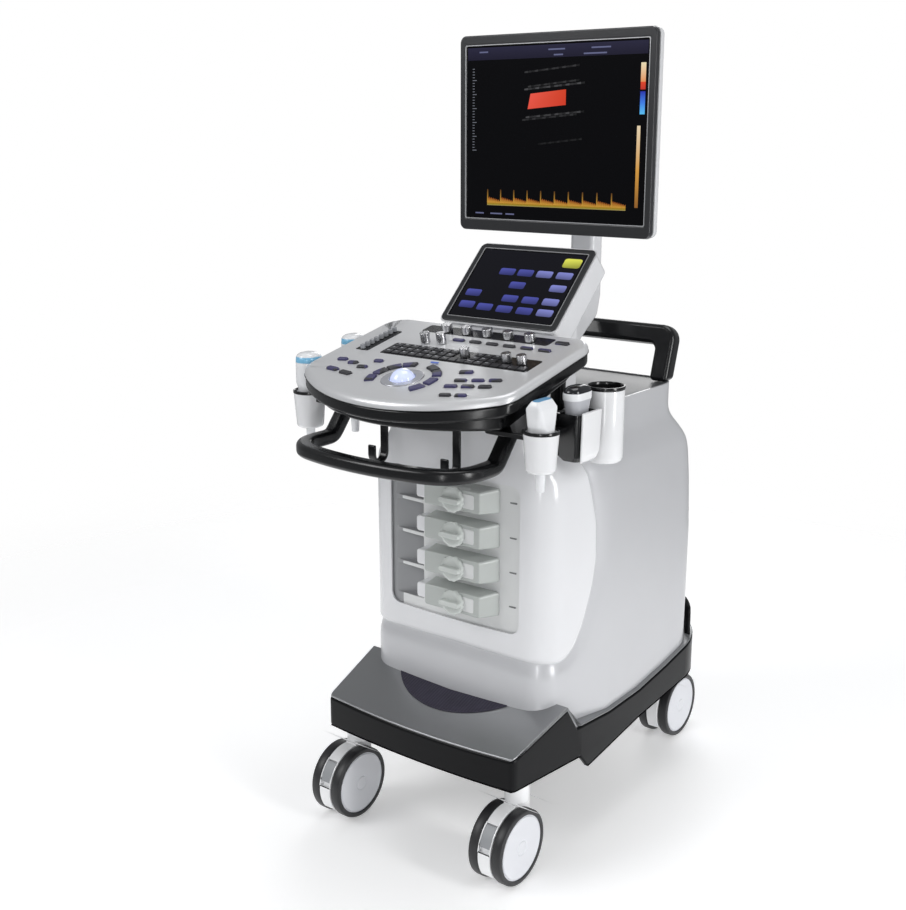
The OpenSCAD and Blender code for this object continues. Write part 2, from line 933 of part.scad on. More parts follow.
// Frame with X across the panel, Y up its slope and Z out of its face
module on_touch(z) {
    translate([0, touch_foot.x, touch_foot.y])
        rotate([touch_tilt, 0, 0])
            translate([0, touch_h / 2, z]) children();
}

module touch_housing() {
    color("white")
    difference() {
        on_touch(-touch_t) linear_extrude(touch_t - touch_lip) round_rect(touch_w, touch_h, 10);
        on_touch(-touch_t + 3) linear_extrude(touch_t) round_rect(touch_w - 6, touch_h - 6, 7);
        console_envelope();
    }
}

module touch_bezel() {
    color("#2e3136")
    difference() {
        on_touch(-touch_lip) linear_extrude(touch_lip) round_rect(touch_w, touch_h, 10);
        on_touch(-touch_lip - 1) linear_extrude(touch_lip + 2) round_rect(touch_w - 2 * touch_rim, touch_h - 2 * touch_rim, 3);
    }
}

module touch_screen() {
    color("#0b0c14")
    on_touch(-touch_lip) linear_extrude(touch_lip - 1) round_rect(touch_w - 2 * touch_rim, touch_h - 2 * touch_rim, 3);
}

// ================= Holders and probes =================

module holder_plate(out_x) {
    plate_in = 140;
    translate([out_x > 0 ? plate_in : out_x, front_cup_y - 10, holder_z])
        cube([abs(out_x) - plate_in, gel_y - front_cup_y + 20, holder_t]);
}

module cup_outside(x, y) {
    translate([x, y, cup_top - cup_h]) cylinder(r1 = cup_r - 4, r2 = cup_r, h = cup_h);
}

module cup_inside(x, y) {
    translate([x, y, cup_top - cup_h + cup_t])
        cylinder(r1 = cup_r - 4 - cup_t, r2 = cup_r - cup_t, h = cup_h - cup_t + 0.01);
    translate([x, y, cup_top - cup_h - 1]) cylinder(r = tail_r + 2, h = cup_t + 2);
}

module probe_holder_right() {
    color("white")
    difference() {
        union() {
            holder_plate(cup_x);
            cup_outside(cup_x, front_cup_y);
            translate([cup_x, square_y, cup_top - cup_h]) linear_extrude(cup_h + 15) round_rect(52, 62, 8);
            translate([cup_x, gel_y, gel_top - gel_h]) cylinder(r = gel_r + cup_t, h = gel_h);
        }
        cup_inside(cup_x, front_cup_y);
        translate([cup_x, square_y, cup_top - cup_h + cup_t])
            linear_extrude(cup_h + 20) round_rect(52 - 2 * cup_t, 62 - 2 * cup_t, 6);
        translate([cup_x, gel_y, gel_top - gel_h + cup_t]) cylinder(r = gel_r, h = gel_h);
    }
}

module probe_holder_left() {
    color("white")
    difference() {
        union() {
            holder_plate(-left_cup_x);
            cup_outside(-left_cup_x, left_front_y);
            cup_outside(-left_cup_x, left_rear_y);
        }
        cup_inside(-left_cup_x, left_front_y);
        cup_inside(-left_cup_x, left_rear_y);
    }
}

// Grip of a probe in its cup, and the stub of its cable sleeve under the cup
module probe_grip(grip_r) {
    floor_z = cup_top - cup_h + cup_t;
    translate([0, 0, floor_z + gap]) cylinder(r = grip_r, h = cup_top + 12 - floor_z - gap);
    translate([0, 0, floor_z - 32]) cylinder(r = tail_r, h = 34);
}

module probe_linear() {
    color("white")
    translate([cup_x, front_cup_y, 0]) {
        probe_grip(cup_r - 4 - cup_t - 1);
        translate([0, 0, cup_top + 11]) linear_extrude(linear_top - cup_top - 11) round_rect(22, 46, 8);
    }
}

// Probe with a broad oval head
module broad_probe(y, top) {
    translate([-left_cup_x, y, 0]) {
        probe_grip(cup_r - 4 - cup_t - 1);
        translate([0, 0, cup_top + 11]) linear_extrude(top - cup_top - 11) round_rect(broad_w, 44, 12);
    }
}

module probe_left_front() {
    color("white") broad_probe(left_front_y, top_z(left_front_y) + 6);
}

module probe_left_rear() {
    color("white") broad_probe(left_rear_y, top_z(left_rear_y) - 2);
}

module probe_convex() {
    floor_z = cup_top - cup_h + cup_t;
    head_z = cup_top + 26;
    color("#33363c")
    translate([cup_x, square_y, 0]) {
        translate([0, 0, floor_z + gap]) linear_extrude(head_z - floor_z) round_rect(30, 40, 8);
        translate([-15, 0, head_z]) rotate([0, 90, 0]) cylinder(r = 26, h = 30);
    }
}

// ================= Monitor =================

module monitor_post() {
    color("white") {
        side_prism(post_w)
            polygon([[40, body_top], [75, 790], [150, 860], [post_front - 3, 900], [post_front, 960],
                [post_front, collar_low - gap], [post_back, collar_low - gap], [post_back, 880],
                [post_back - 10, 843], [165, 807], [120, 768], [95, body_top]]);
        translate([0, swivel_y, collar_low - 10]) cylinder(r = post_pin_r, h = collar_high - collar_low);
    }
}

module monitor_yoke() {
    color("lightgray")
    difference() {
        union() {
            translate([0, swivel_y, collar_low]) cylinder(r = 19, h = collar_high - collar_low);
            translate([-25, tilt_y, monitor_z]) rotate([0, 90, 0]) cylinder(r = 10, h = 50);
            translate([-15, tilt_y, monitor_z - 10]) cube([30, swivel_y - tilt_y, 20]);
            translate([-38, tilt_y, monitor_z]) rotate([0, 90, 0]) cylinder(r = tilt_pin_r, h = 76);
        }
        translate([0, swivel_y, collar_low - 1]) cylinder(r = post_pin_r + fit, h = collar_high - collar_low - 9 + gap);
    }
}

module monitor_back() {
    color("white")
    difference() {
        union() {
            front_prism(monitor_front + monitor_frame, monitor_front + 28)
                translate([0, monitor_z]) round_rect(monitor_w, monitor_h, 12);
            front_prism(monitor_front + 27, monitor_rear)
                translate([0, monitor_z]) round_rect(monitor_w - 60, monitor_h - 60, 20);
            for (side = [-1, 1])
                translate([side * 31 - 5, 0, 0]) hull() {
                    translate([0, tilt_y, monitor_z]) rotate([0, 90, 0]) cylinder(r = 11, h = 10);
                    translate([0, monitor_rear - 2, monitor_z - 20]) cube([10, 2, 40]);
                }
        }
        front_prism(monitor_front - 1, monitor_front + 25)
            translate([0, monitor_z]) round_rect(monitor_w - 8, monitor_h - 8, 8);
        front_prism(monitor_front + 20, monitor_rear - 3)
            translate([0, monitor_z]) round_rect(monitor_w - 66, monitor_h - 66, 17);
        translate([-50, tilt_y, monitor_z]) rotate([0, 90, 0]) cylinder(r = tilt_pin_r + fit, h = 100);
    }
}

module monitor_bezel() {
    color("#3b3e42")
    difference() {
        front_prism(monitor_front, monitor_front + monitor_frame)
            translate([0, monitor_z]) round_rect(monitor_w, monitor_h, 12);
        front_prism(monitor_front - 1, monitor_front + monitor_frame + 1)
            translate([0, monitor_z + 2]) round_rect(monitor_w - 22, monitor_h - 36, 2);
    }
}

module monitor_screen() {
    color("#07080c")
    front_prism(monitor_front + 3, monitor_front + monitor_frame)
        translate([0, monitor_z + 2]) round_rect(monitor_w - 22, monitor_h - 36, 2);
}

at_caster(-1, true) caster_housing(true);  // caster_fl_housing
at_caster(-1, true) caster_hubs();  // caster_fl_hubs
at_caster(-1, true) caster_tyres();  // caster_fl_tyres
at_caster(-1, true) brake_pedal();  // brake_pedal_left
at_caster(1, true) caster_housing(true);  // caster_fr_housing
at_caster(1, true) caster_hubs();  // caster_fr_hubs
at_caster(1, true) caster_tyres();  // caster_fr_tyres
at_caster(1, true) brake_pedal();  // brake_pedal_right
at_caster(-1, false) caster_housing(false);  // caster_rl_housing
at_caster(-1, false) caster_hubs();  // caster_rl_hubs
at_caster(-1, false) caster_tyres();  // caster_rl_tyres
at_caster(1, false) caster_housing(false);  // caster_rr_housing
at_caster(1, false) caster_hubs();  // caster_rr_hubs
at_caster(1, false) caster_tyres();  // caster_rr_tyres
base_shell();
deck_plate();
foot_mat();
inner_frame();
electronics_rack();
power_supply();
cooling_fan();
front_cover();
side_cover(-1);  // side_cover_left
side_cover(1);  // side_cover_right
rear_cover();
top_cover();
port_panel();
probe_connectors();
connector_lock(0);  // connector_lock_1
connector_lock(1);  // connector_lock_2
connector_lock(2);  // connector_lock_3
connector_lock(3);  // connector_lock_4
rear_handle();
rear_io_panel();
console_column();
console_base();
console_top();
control_board();
front_handle();
cable_hooks();
trackball();
trackball_ring();
letter_keys();
function_keys();
tgc_sliders();
encoder_knobs();
touch_housing();
touch_bezel();
touch_screen();
probe_holder_right();
probe_holder_left();
probe_linear();
probe_convex();
probe_left_front();
probe_left_rear();
monitor_post();
monitor_yoke();
monitor_back();
monitor_bezel();
monitor_screen();
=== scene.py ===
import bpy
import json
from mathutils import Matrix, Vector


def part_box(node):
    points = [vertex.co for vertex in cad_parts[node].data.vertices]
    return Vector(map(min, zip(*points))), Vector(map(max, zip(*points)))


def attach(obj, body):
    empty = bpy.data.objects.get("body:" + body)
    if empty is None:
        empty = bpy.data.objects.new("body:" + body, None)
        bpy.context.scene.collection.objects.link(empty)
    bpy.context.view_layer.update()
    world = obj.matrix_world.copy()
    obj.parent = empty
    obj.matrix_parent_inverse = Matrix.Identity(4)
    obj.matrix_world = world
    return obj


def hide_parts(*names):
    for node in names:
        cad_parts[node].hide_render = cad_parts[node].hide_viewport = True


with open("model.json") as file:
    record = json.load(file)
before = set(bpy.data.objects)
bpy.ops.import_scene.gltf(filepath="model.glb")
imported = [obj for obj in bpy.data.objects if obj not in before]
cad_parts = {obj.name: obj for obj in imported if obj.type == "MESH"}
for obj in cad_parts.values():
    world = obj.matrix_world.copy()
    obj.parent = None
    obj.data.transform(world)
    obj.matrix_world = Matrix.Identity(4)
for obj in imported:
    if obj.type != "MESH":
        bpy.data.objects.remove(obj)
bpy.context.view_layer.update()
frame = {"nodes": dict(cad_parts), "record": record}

import json
from math import atan2, cos, degrees, pi, radians, sin, sqrt, tan

import bmesh
import bpy
import numpy as np
from mathutils import Matrix, Vector, geometry

MM = 0.001


# ---- Camera ----
# It stands at the right of the machine's front, a little above the monitor's middle, and looks down
# at the console. A long lens keeps the uprights nearly parallel.
camera = bpy.data.objects.new("camera", bpy.data.cameras.new("camera"))
camera.data.lens = 49.67
camera.data.sensor_width = 36
camera.matrix_world = (
    Matrix.Translation((1.1994, -1.7365, 1.1648))
    @ Matrix.Rotation(radians(37.65), 4, "Z")
    @ Matrix.Rotation(radians(90 - 14.42), 4, "X")
)
bpy.context.scene.collection.objects.link(camera)
bpy.context.scene.camera = camera
bpy.context.scene.view_settings.view_transform = "Standard"


# ---- Materials ----
# Every finish is worked out from the place on the machine, so a material has no picture file. A value
# in a material is written as sums and products of these two classes.
class Shade:
    """One value in a finish: arithmetic on it adds Math nodes."""

    def __init__(self, finish, socket):
        self.finish = finish
        self.socket = socket

    def math(self, operation, *terms):
        return self.finish.node("ShaderNodeMath", {"operation": operation}, dict(enumerate(terms)))

    def __add__(self, other):
        return self.math("ADD", self, other)

    def __sub__(self, other):
        return self.math("SUBTRACT", self, other)

    def __rsub__(self, other):
        return self.math("SUBTRACT", other, self)

    def __mul__(self, other):
        return self.math("MULTIPLY", self, other)

    def __gt__(self, other):
        return self.math("GREATER_THAN", self, other)

    def __lt__(self, other):
        return self.math("LESS_THAN", self, other)

    __radd__ = __add__
    __rmul__ = __mul__


class Finish:
    """A procedural material, which belongs to one of the record's slots."""

    def __init__(self, name, slot, **constants):
        self.slot = slot
        self.material = bpy.data.materials.new(name)
        self.material.use_nodes = True
        self.shader = self.material.node_tree.nodes["Principled BSDF"]
        for socket, value in constants.items():
            self.set(socket.replace("_", " ").title().replace("Ior", "IOR"), value)

    def feed(self, socket, value):
        if isinstance(value, Shade):
            self.material.node_tree.links.new(value.socket, socket)
        elif socket.type == "RGBA":
            socket.default_value = (*value, 1)
        else:
            socket.default_value = value

    def set(self, socket, value):
        self.feed(self.shader.inputs[socket], value)

    def node(self, kind, settings={}, inputs={}, output=0):
        made = self.material.node_tree.nodes.new(kind)
        for name, value in settings.items():
            if name == "stops":
                stops = made.color_ramp.elements
                for stop, (place, colour) in zip((stops[0], stops[-1]), (value[0], value[-1])):
                    stop.position = place
                    stop.color = (*colour, 1)
                for place, colour in value[1:-1]:
                    stops.new(place).color = (*colour, 1)
            else:
                setattr(made, name, value)
        for name, value in inputs.items():
            self.feed(made.inputs[name], value)
        return Shade(self, made.outputs[output])

    def place(self, axis=None):
        where = self.node("ShaderNodeTexCoord", output=3)
        if axis is None:
            return where
        return self.node("ShaderNodeSeparateXYZ", {}, {0: where}, "XYZ".index(axis))

    def noise(self, scale, detail=3.0):
        return self.node("ShaderNodeTexNoise", {}, {"Vector": self.place(), "Scale": scale, "Detail": detail})

    def mix(self, factor, one, other):
        return self.node("ShaderNodeMix", {"data_type": "RGBA"}, {0: factor, 6: one, 7: other}, 2)

    def bump(self, height, distance):
        self.set("Normal", self.node("ShaderNodeBump", {}, {"Height": height, "Distance": distance}))


def moulded(name, slot, colour, roughness, grain=1400.0, depth=0.02 * MM, mottle=0.03, coat=None,
            **constants):
    """Plastic or paint: a fine grain, a faint change of tone and patches that are a little duller. Its
    clear coat has a weight and a roughness."""
    if coat:
        constants.update(coat_weight=coat[0], coat_roughness=coat[1])
    made = Finish(name, slot, **constants)
    tone = made.noise(7.0)
    dark = tuple(c * (1 - mottle) for c in colour)
    light = tuple(min(1.0, c * (1 + mottle)) for c in colour)
    made.set("Base Color", made.mix(tone, dark, light))
    made.set("Roughness", made.noise(12.0, 1.0) * (roughness * 0.2) + roughness * 0.9)
    made.bump(made.noise(grain, 2.0), depth)
    return made


# ---- Studio ----
# A pale floor that fades out into a white surround, which only the camera sees, so that glossy blacks
# stay deep. Soft boxes: a broad key from the upper left, tall strips at the right and the front, one from
# above and one from behind.
world = bpy.data.worlds.new("studio")
world.use_nodes = True
world.node_tree.nodes["Background"].inputs["Color"].default_value = (0.96, 0.98, 1, 1)
world.node_tree.nodes["Background"].inputs["Strength"].default_value = 0.3
bpy.context.scene.world = world


def built(name, points, faces):
    """A new object in the scene."""
    mesh = bpy.data.meshes.new(name)
    mesh.from_pydata(points, [], faces)
    piece = bpy.data.objects.new(name, mesh)
    bpy.context.scene.collection.objects.link(piece)
    return piece


def staged(name, points, faces, finish):
    piece = built(name, points, faces)
    piece.data.materials.append(finish.material)
    return piece


floor_finish = Finish("studio_floor", "white_plastic", base_color=(0.92, 0.92, 0.925), roughness=0.8,
                      emission_color=(1.0, 1.0, 1.0), emission_strength=0.3)
FLOOR_HALF, FADE_FROM, FADE_TO = 3, 1.0, 2.3
reach = floor_finish.node("ShaderNodeVectorMath", {"operation": "LENGTH"}, {0: floor_finish.place()}, "Value")
fade = floor_finish.node("ShaderNodeMapRange", {"interpolation_type": "SMOOTHSTEP"},
                         {"Value": reach, "From Min": FADE_FROM, "From Max": FADE_TO, "To Min": 1.0,
                          "To Max": 0.0})
floor_finish.set("Alpha", fade)
floor_corners = [(x * FLOOR_HALF, y * FLOOR_HALF, 0) for x, y in ((-1, -1), (1, -1), (1, 1), (-1, 1))]
staged("floor", floor_corners, [(0, 1, 2, 3)], floor_finish)
surround_finish = Finish("studio_surround", "white_plastic", base_color=(0, 0, 0), roughness=1.0,
                         specular_ior_level=0.0, emission_color=(1.0, 1.0, 1.0), emission_strength=1.0)
FAR = 14
box_corners = [(x, y, z) for x in (-FAR, FAR) for y in (-FAR, FAR) for z in (-FAR, FAR)]
box_faces = [(0, 1, 3, 2), (4, 6, 7, 5), (0, 4, 5, 1), (2, 3, 7, 6), (0, 2, 6, 4), (1, 5, 7, 3)]
surround = staged("surround", box_corners, box_faces, surround_finish)
surround.visible_diffuse = surround.visible_glossy = surround.visible_transmission = False
surround.visible_shadow = False


def soft_box(name, place, aim, width, height, watts):
    light = bpy.data.lights.new(name, "AREA")
    light.shape = "RECTANGLE"
    light.size = width
    light.size_y = height
    light.energy = watts
    lamp = bpy.data.objects.new(name, light)
    lamp.location = place
    lamp.rotation_euler = (Vector(aim) - Vector(place)).to_track_quat("-Z", "Y").to_euler()
    bpy.context.scene.collection.objects.link(lamp)


soft_box("key", (-1.7, -2.6, 2.6), (0, 0, 0.7), 1.6, 1.6, 44)
soft_box("right_strip", (2.9, -0.2, 1.2), (0, 0, 0.6), 0.6, 2.4, 44)
soft_box("front_strip", (1.7, -2.9, 0.9), (0.1, 0, 0.5), 0.3, 2.2, 16)
soft_box("top", (0.2, 0.3, 3.4), (0, 0, 0.8), 1.6, 1.6, 22)
soft_box("rear", (-1.6, 2.8, 2.0), (0, 0, 0.6), 1.5, 2.0, 26)


# ---- Casters ----
# Four twin-wheel casters of glossy white plastic. Each has a hood between its two wheels, a swivel stem
# and moulded wheels with a thin rubber tyre; the front hoods carry a brake pedal.
def skin(rings, closed=True, caps=True):
    """Surface through rings that have the same number of points."""
    count = len(rings[0])
    points = [tuple(p) for ring in rings for p in ring]
    faces = []
    for r in range(len(rings) - 1):
        for i in range(count if closed else count - 1):
            a = r * count + i
            b = r * count + (i + 1) % count
            faces.append((a, b, b + count, a + count))
    if caps:
        faces.append(tuple(reversed(range(count))))
        faces.append(tuple(range(len(points) - count, len(points))))
    return points, faces


def in_mm(profile):
    return [(distance * MM, radius * MM) for distance, radius in profile]


def joined(*shapes):
    points, faces = [], []
    for more_points, more_faces in shapes:
        faces += [tuple(i + len(points) for i in face) for face in more_faces]
        points += more_points
    return points, faces


def settle(piece):
    """Applies a piece's modifiers to its mesh."""
    bpy.context.view_layer.update()
    shaped = bpy.data.meshes.new_from_object(piece.evaluated_get(bpy.context.evaluated_depsgraph_get()))
    piece.modifiers.clear()
    piece.data = shaped


def round_edges(piece, width, steps=3, angle=32):
    edge = piece.modifiers.new("edges", "BEVEL")
    edge.width = width
    edge.segments = steps
    edge.limit_method = "ANGLE"
    edge.angle_limit = radians(angle)
    edge.use_clamp_overlap = False
    edge.harden_normals = False


def shade(piece, smooth=40):
    """Smooth shading that keeps the edges sharper than an angle."""
    piece.data.shade_smooth()
    piece.data.set_sharp_from_angle(angle=radians(smooth))


def fitted(name, shape, finish, body, nodes=(), edge=0, steps=3, smooth=40, wall=0, angle=32, weigh=None):
    """Puts a new piece on the machine: its mesh, finish, body and the CAD nodes that it stands for."""
    piece = built(name, *shape)
    form = bmesh.new()
    form.from_mesh(piece.data)
    bmesh.ops.remove_doubles(form, verts=form.verts, dist=1e-6)
    bmesh.ops.recalc_face_normals(form, faces=form.faces)
    if weigh:
        weight = form.edges.layers.float.new("bevel_weight_edge")
        for line in form.edges:
            if len(line.link_faces) == 2 and line.calc_face_angle() > radians(angle):
                line[weight] = weigh((line.verts[0].co + line.verts[1].co) / 2)
    form.to_mesh(piece.data)
    form.free()
    if wall:
        shell = piece.modifiers.new("wall", "SOLIDIFY")
        shell.thickness = wall
        shell.offset = -1
    if edge:
        round_edges(piece, edge, steps, angle)
        if weigh:
            piece.modifiers["edges"].limit_method = "WEIGHT"
    if wall or edge:
        settle(piece)
    shade(piece, smooth)
    if edge:
        level = piece.modifiers.new("level", "WEIGHTED_NORMAL")
        level.keep_sharp = True
        settle(piece)
    piece.data.materials.clear()
    piece.data.materials.append(finish.material)
    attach(piece, body)
    if nodes:
        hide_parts(*nodes)
    return piece


def body_of_node(node):
    return next(body for body, nodes in frame["record"]["behaviour"]["bodies"].items() if node in nodes)


def softened(node, finish, width, steps=3, angle=32, smooth=40, weigh=None):
    """Stands for a CAD piece, with its edges rounded as its mould or press rounds them."""
    form = bmesh.new()
    form.from_mesh(frame["nodes"][node].data)
    bmesh.ops.remove_doubles(form, verts=form.verts, dist=2e-6)
    if not weigh:
        bmesh.ops.dissolve_limit(form, angle_limit=radians(0.6), verts=form.verts, edges=form.edges)
    points = [tuple(v.co) for v in form.verts]
    form.verts.index_update()
    faces = [tuple(v.index for v in f.verts) for f in form.faces]
    form.free()
    return fitted(node + "_moulded", (points, faces), finish, body_of_node(node), (node,), width, steps,
                  smooth, 0, angle, weigh)


def turned(profile, origin, along, segments=72, closed=False):
    """Turned piece: each point of its profile is a distance along the axis and a radius."""
    along = Vector(along).normalized()
    side = along.orthogonal().normalized()
    up = along.cross(side)
    turn = [2 * pi * i / segments for i in range(segments)]
    rings = []
    for distance, radius in profile:
        centre = Vector(origin) + along * distance
        rings.append([centre + (side * cos(t) + up * sin(t)) * radius for t in turn])
    if closed:
        rings.append(rings[0])
    return skin(rings, caps=not closed)


hood_plastic = moulded("hood_plastic", "caster_plastic", (0.87, 0.875, 0.885), 0.2, coat=(0.4, 0.08))
wheel_face = moulded("wheel_face", "wheel_plastic", (0.7, 0.71, 0.745), 0.34)
tyre_rubber = moulded("tyre_rubber", "tyre_rubber", (0.016, 0.016, 0.018), 0.42, grain=900, depth=0.00006)
pedal_plastic = moulded("pedal_plastic", "pedal_plastic", (0.3, 0.31, 0.325), 0.4)

# Each profile is in millimetres out along the axle and from its middle
HUB = in_mm([(13.2, 0.5), (13.2, 52.5), (14, 55.5), (29, 55.5), (29.4, 53.6), (28.4, 53.0), (28.4, 51.8),
             (30.2, 50.8), (30.7, 44), (30.9, 16), (30.7, 13.5), (29.9, 12.6), (29.9, 11.4), (30.9, 10.5),
             (31.1, 0.5)])
TYRE = in_mm([(13, 55), (13, 60), (13.9, 61.6), (16, 62.5), (28, 62.5), (30, 61.7), (31, 60), (31.3, 57),
              (30.9, 54.2), (29.6, 53.4), (28.5, 55.4)])
AXLE = in_mm([(-13.4, 4.9), (13.4, 4.9)])
SIDES = ((-1, "left"), (1, "right"))
for corner in ("fl", "fr", "rl", "rr"):
    hubs, tyres = f"caster_{corner}_hubs", f"caster_{corner}_tyres"
    low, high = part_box(tyres)
    middle = (low + high) / 2
    wheels = f"caster_{corner}_wheels"
    for side, label in SIDES:
        hub = turned(HUB, middle, (side, 0, 0), 96)
        fitted(f"caster_{corner}_{label}_hub", hub, wheel_face, wheels, (hubs,), smooth=28)
        tyre = turned(TYRE, middle, (side, 0, 0), 96, True)
        fitted(f"caster_{corner}_{label}_tyre", tyre, tyre_rubber, wheels, (tyres,), smooth=28)
    fitted(f"caster_{corner}_axle", turned(AXLE, middle, (1, 0, 0), 32), wheel_face, wheels)
    softened(f"caster_{corner}_housing", hood_plastic, 1.6 * MM)
for _, label in SIDES:
    softened(f"brake_pedal_{label}", pedal_plastic, 0.8 * MM)


# ---- Base ----
# A black casting with an upright bumper at its back. A grey metallic plate covers its top, bent down
# from the body to the foot rest, where a ribbed rubber mat lies.
base_black = moulded("base_black", "black_plastic", (0.0025, 0.0027, 0.0035), 0.3, specular_ior_level=0.14,
                     coat=(0.03, 0.1))
softened("base_shell", base_black, 5 * MM, 4)

deck_metal = moulded("deck_metal", "deck_metal", (0.34, 0.345, 0.355), 0.3, depth=0.00001, metallic=0.85,
                     coat=(0.2, 0.1))
softened("deck_plate", deck_metal, 1.3 * MM)

mat_rubber = Finish("mat_rubber", "mat_rubber", roughness=0.55)
ribs = mat_rubber.node("ShaderNodeTexWave", {"bands_direction": "X"},
                       {"Vector": mat_rubber.place(), "Scale": 60.0})
mat_rubber.set("Base Color", mat_rubber.mix(mat_rubber.noise(30), (0.018, 0.015, 0.03), (0.035, 0.03, 0.055)))
mat_rubber.bump(ribs, 0.4 * MM)
softened("foot_mat", mat_rubber, 0.8 * MM)


# ---- Body covers ----
# Four injection-moulded shells close the body: a glossy white front cover with a rolled edge, a silver
# side cover on each side that meets it at a curved seam and runs under it, and a rear cover.
def arc(x, y, radius, start, end, count=24):
    turn = np.radians(np.linspace(start, end, count))
    return np.column_stack([x + radius * np.cos(turn), y + radius * np.sin(turn)])


def eased(places, values, spread, step=0.001):
    """Fine table of a broken line whose corners are rounded over a given spread."""
    reach = int(3 * spread / step)
    fine = np.arange(places[0] - 2 * reach * step, places[-1] + 2 * reach * step, step)
    level = np.interp(fine, places, values)
    level += np.minimum(fine - places[0], 0) * (values[1] - values[0]) / (places[1] - places[0])
    level += np.maximum(fine - places[-1], 0) * (values[-1] - values[-2]) / (places[-1] - places[-2])
    weights = np.exp(-0.5 * (np.arange(-reach, reach + 1) * step / spread) ** 2)
    return fine[reach:-reach], np.convolve(level, weights / weights.sum(), "valid")


cover_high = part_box("side_cover_right")[1]
BODY_HALF = cover_high.x
BODY_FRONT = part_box("front_cover")[0].y
BODY_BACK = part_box("rear_cover")[1].y
BODY_TOP = cover_high.z
NECK_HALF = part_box("top_cover")[1].x + 4 * MM
BOW_R, CORNER_R, REAR_R = 1.5, 0.05, 0.07
REAR_SEAM = cover_high.y
SHOULDER = BODY_TOP - 0.12
COVER_WALL = 3.5 * MM
ROLL = 13 * MM
TUCK = 5 * MM
SEAT = 0.3 * MM

corner_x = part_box("front_cover")[1].x - 13 * MM - CORNER_R
corner_y = BODY_FRONT + BOW_R - sqrt((BOW_R - CORNER_R) ** 2 - corner_x ** 2)
bow_end = degrees(atan2(corner_y - BODY_FRONT - BOW_R, corner_x))
rough_plan = np.vstack([
    arc(0, BODY_FRONT + BOW_R, BOW_R, -90, bow_end),
    arc(corner_x, corner_y, CORNER_R, bow_end, -7)[1:],
    [(BODY_HALF, -0.02)],
    arc(BODY_HALF - REAR_R, BODY_BACK - REAR_R, REAR_R, 0, 90),
    [(0, BODY_BACK)],
])
run = np.concatenate([[0], np.cumsum(np.hypot(*np.diff(rough_plan, axis=0).T))])
PLAN_RUN, PLAN_X = eased(run, rough_plan[:, 0], 6 * MM)
PLAN_Y = eased(run, rough_plan[:, 1], 6 * MM)[1]
HEIGHTS, HALF_WIDTHS = eased(
    [0, SHOULDER, SHOULDER + 0.025, SHOULDER + 0.046, SHOULDER + 0.057, SHOULDER + 0.072, BODY_TOP],
    [BODY_HALF, BODY_HALF, BODY_HALF - 3 * MM, (BODY_HALF + NECK_HALF) / 2, NECK_HALF + 6 * MM, NECK_HALF,
     NECK_HALF],
    7 * MM)
BACKS = eased([0, 0.46, 0.56, SHOULDER + 0.015, SHOULDER + 0.05, SHOULDER + 0.07, BODY_TOP],
              [0, 0, -0.01, -0.023, -0.034, -0.038, -0.038], 7 * MM)
# The deck's top, as depth and height, where the side covers stand
DECK = eased([-0.31, -0.147, -0.121, -0.02, 0.08, 0.18, 0.26, 0.5],
             [0.212, 0.264, 0.222, 0.213, 0.215, 0.228, 0.242, 0.28], 2 * MM)
# The seam round the front cover, as depth and height, from the middle of its lower edge up its side
SEAM = np.array([(BODY_FRONT, 0.337), (-0.17, 0.332), (-0.13, 0.33), (-0.104, 0.345), (-0.08, 0.385),
                 (-0.06, 0.44), (-0.05, 0.49), (-0.052, 0.556), (-0.075, 0.64), (-0.09, BODY_TOP)])


def run_at(y):
    rising = PLAN_RUN[PLAN_RUN < run[-1] - BODY_HALF]
    return np.interp(y, PLAN_Y[:len(rising)], rising)


def on_body(side, along, z, inset):
    """Point on the body at a distance along its plan and a height, set in by some depth."""
    x, y = np.interp(along, PLAN_RUN, PLAN_X), np.interp(along, PLAN_RUN, PLAN_Y)
    ahead = np.interp(along + MM, PLAN_RUN, PLAN_X) - np.interp(along - MM, PLAN_RUN, PLAN_X)
    across = np.interp(along + MM, PLAN_RUN, PLAN_Y) - np.interp(along - MM, PLAN_RUN, PLAN_Y)
    size = np.hypot(ahead, across)
    x = max(x - inset * across / size, 0) * np.interp(z, HEIGHTS, HALF_WIDTHS) / BODY_HALF
    y = y + inset * ahead / size
    if y > 0:
        y *= 1 + np.interp(z, *BACKS) / BODY_BACK
    return side * x, y, z


seam_run = np.array([run_at(y) for y in SEAM[:, 0]])
seam_path = np.column_stack([seam_run, SEAM[:, 1]])
seam_length = np.concatenate([[0], np.cumsum(np.hypot(*np.diff(seam_path, axis=0).T))])
SEAM_FINE, SEAM_RUN = eased(seam_length, seam_path[:, 0], 9 * MM)
SEAM_Z = eased(seam_length, seam_path[:, 1], 9 * MM)[1]
SEAM_CORNER = seam_length[3]


def from_seam(along, z):
    return np.min(np.hypot(SEAM_RUN - along, SEAM_Z - z))


def seam_point(length):
    return np.interp(length, SEAM_FINE, SEAM_RUN), np.interp(length, SEAM_FINE, SEAM_Z)


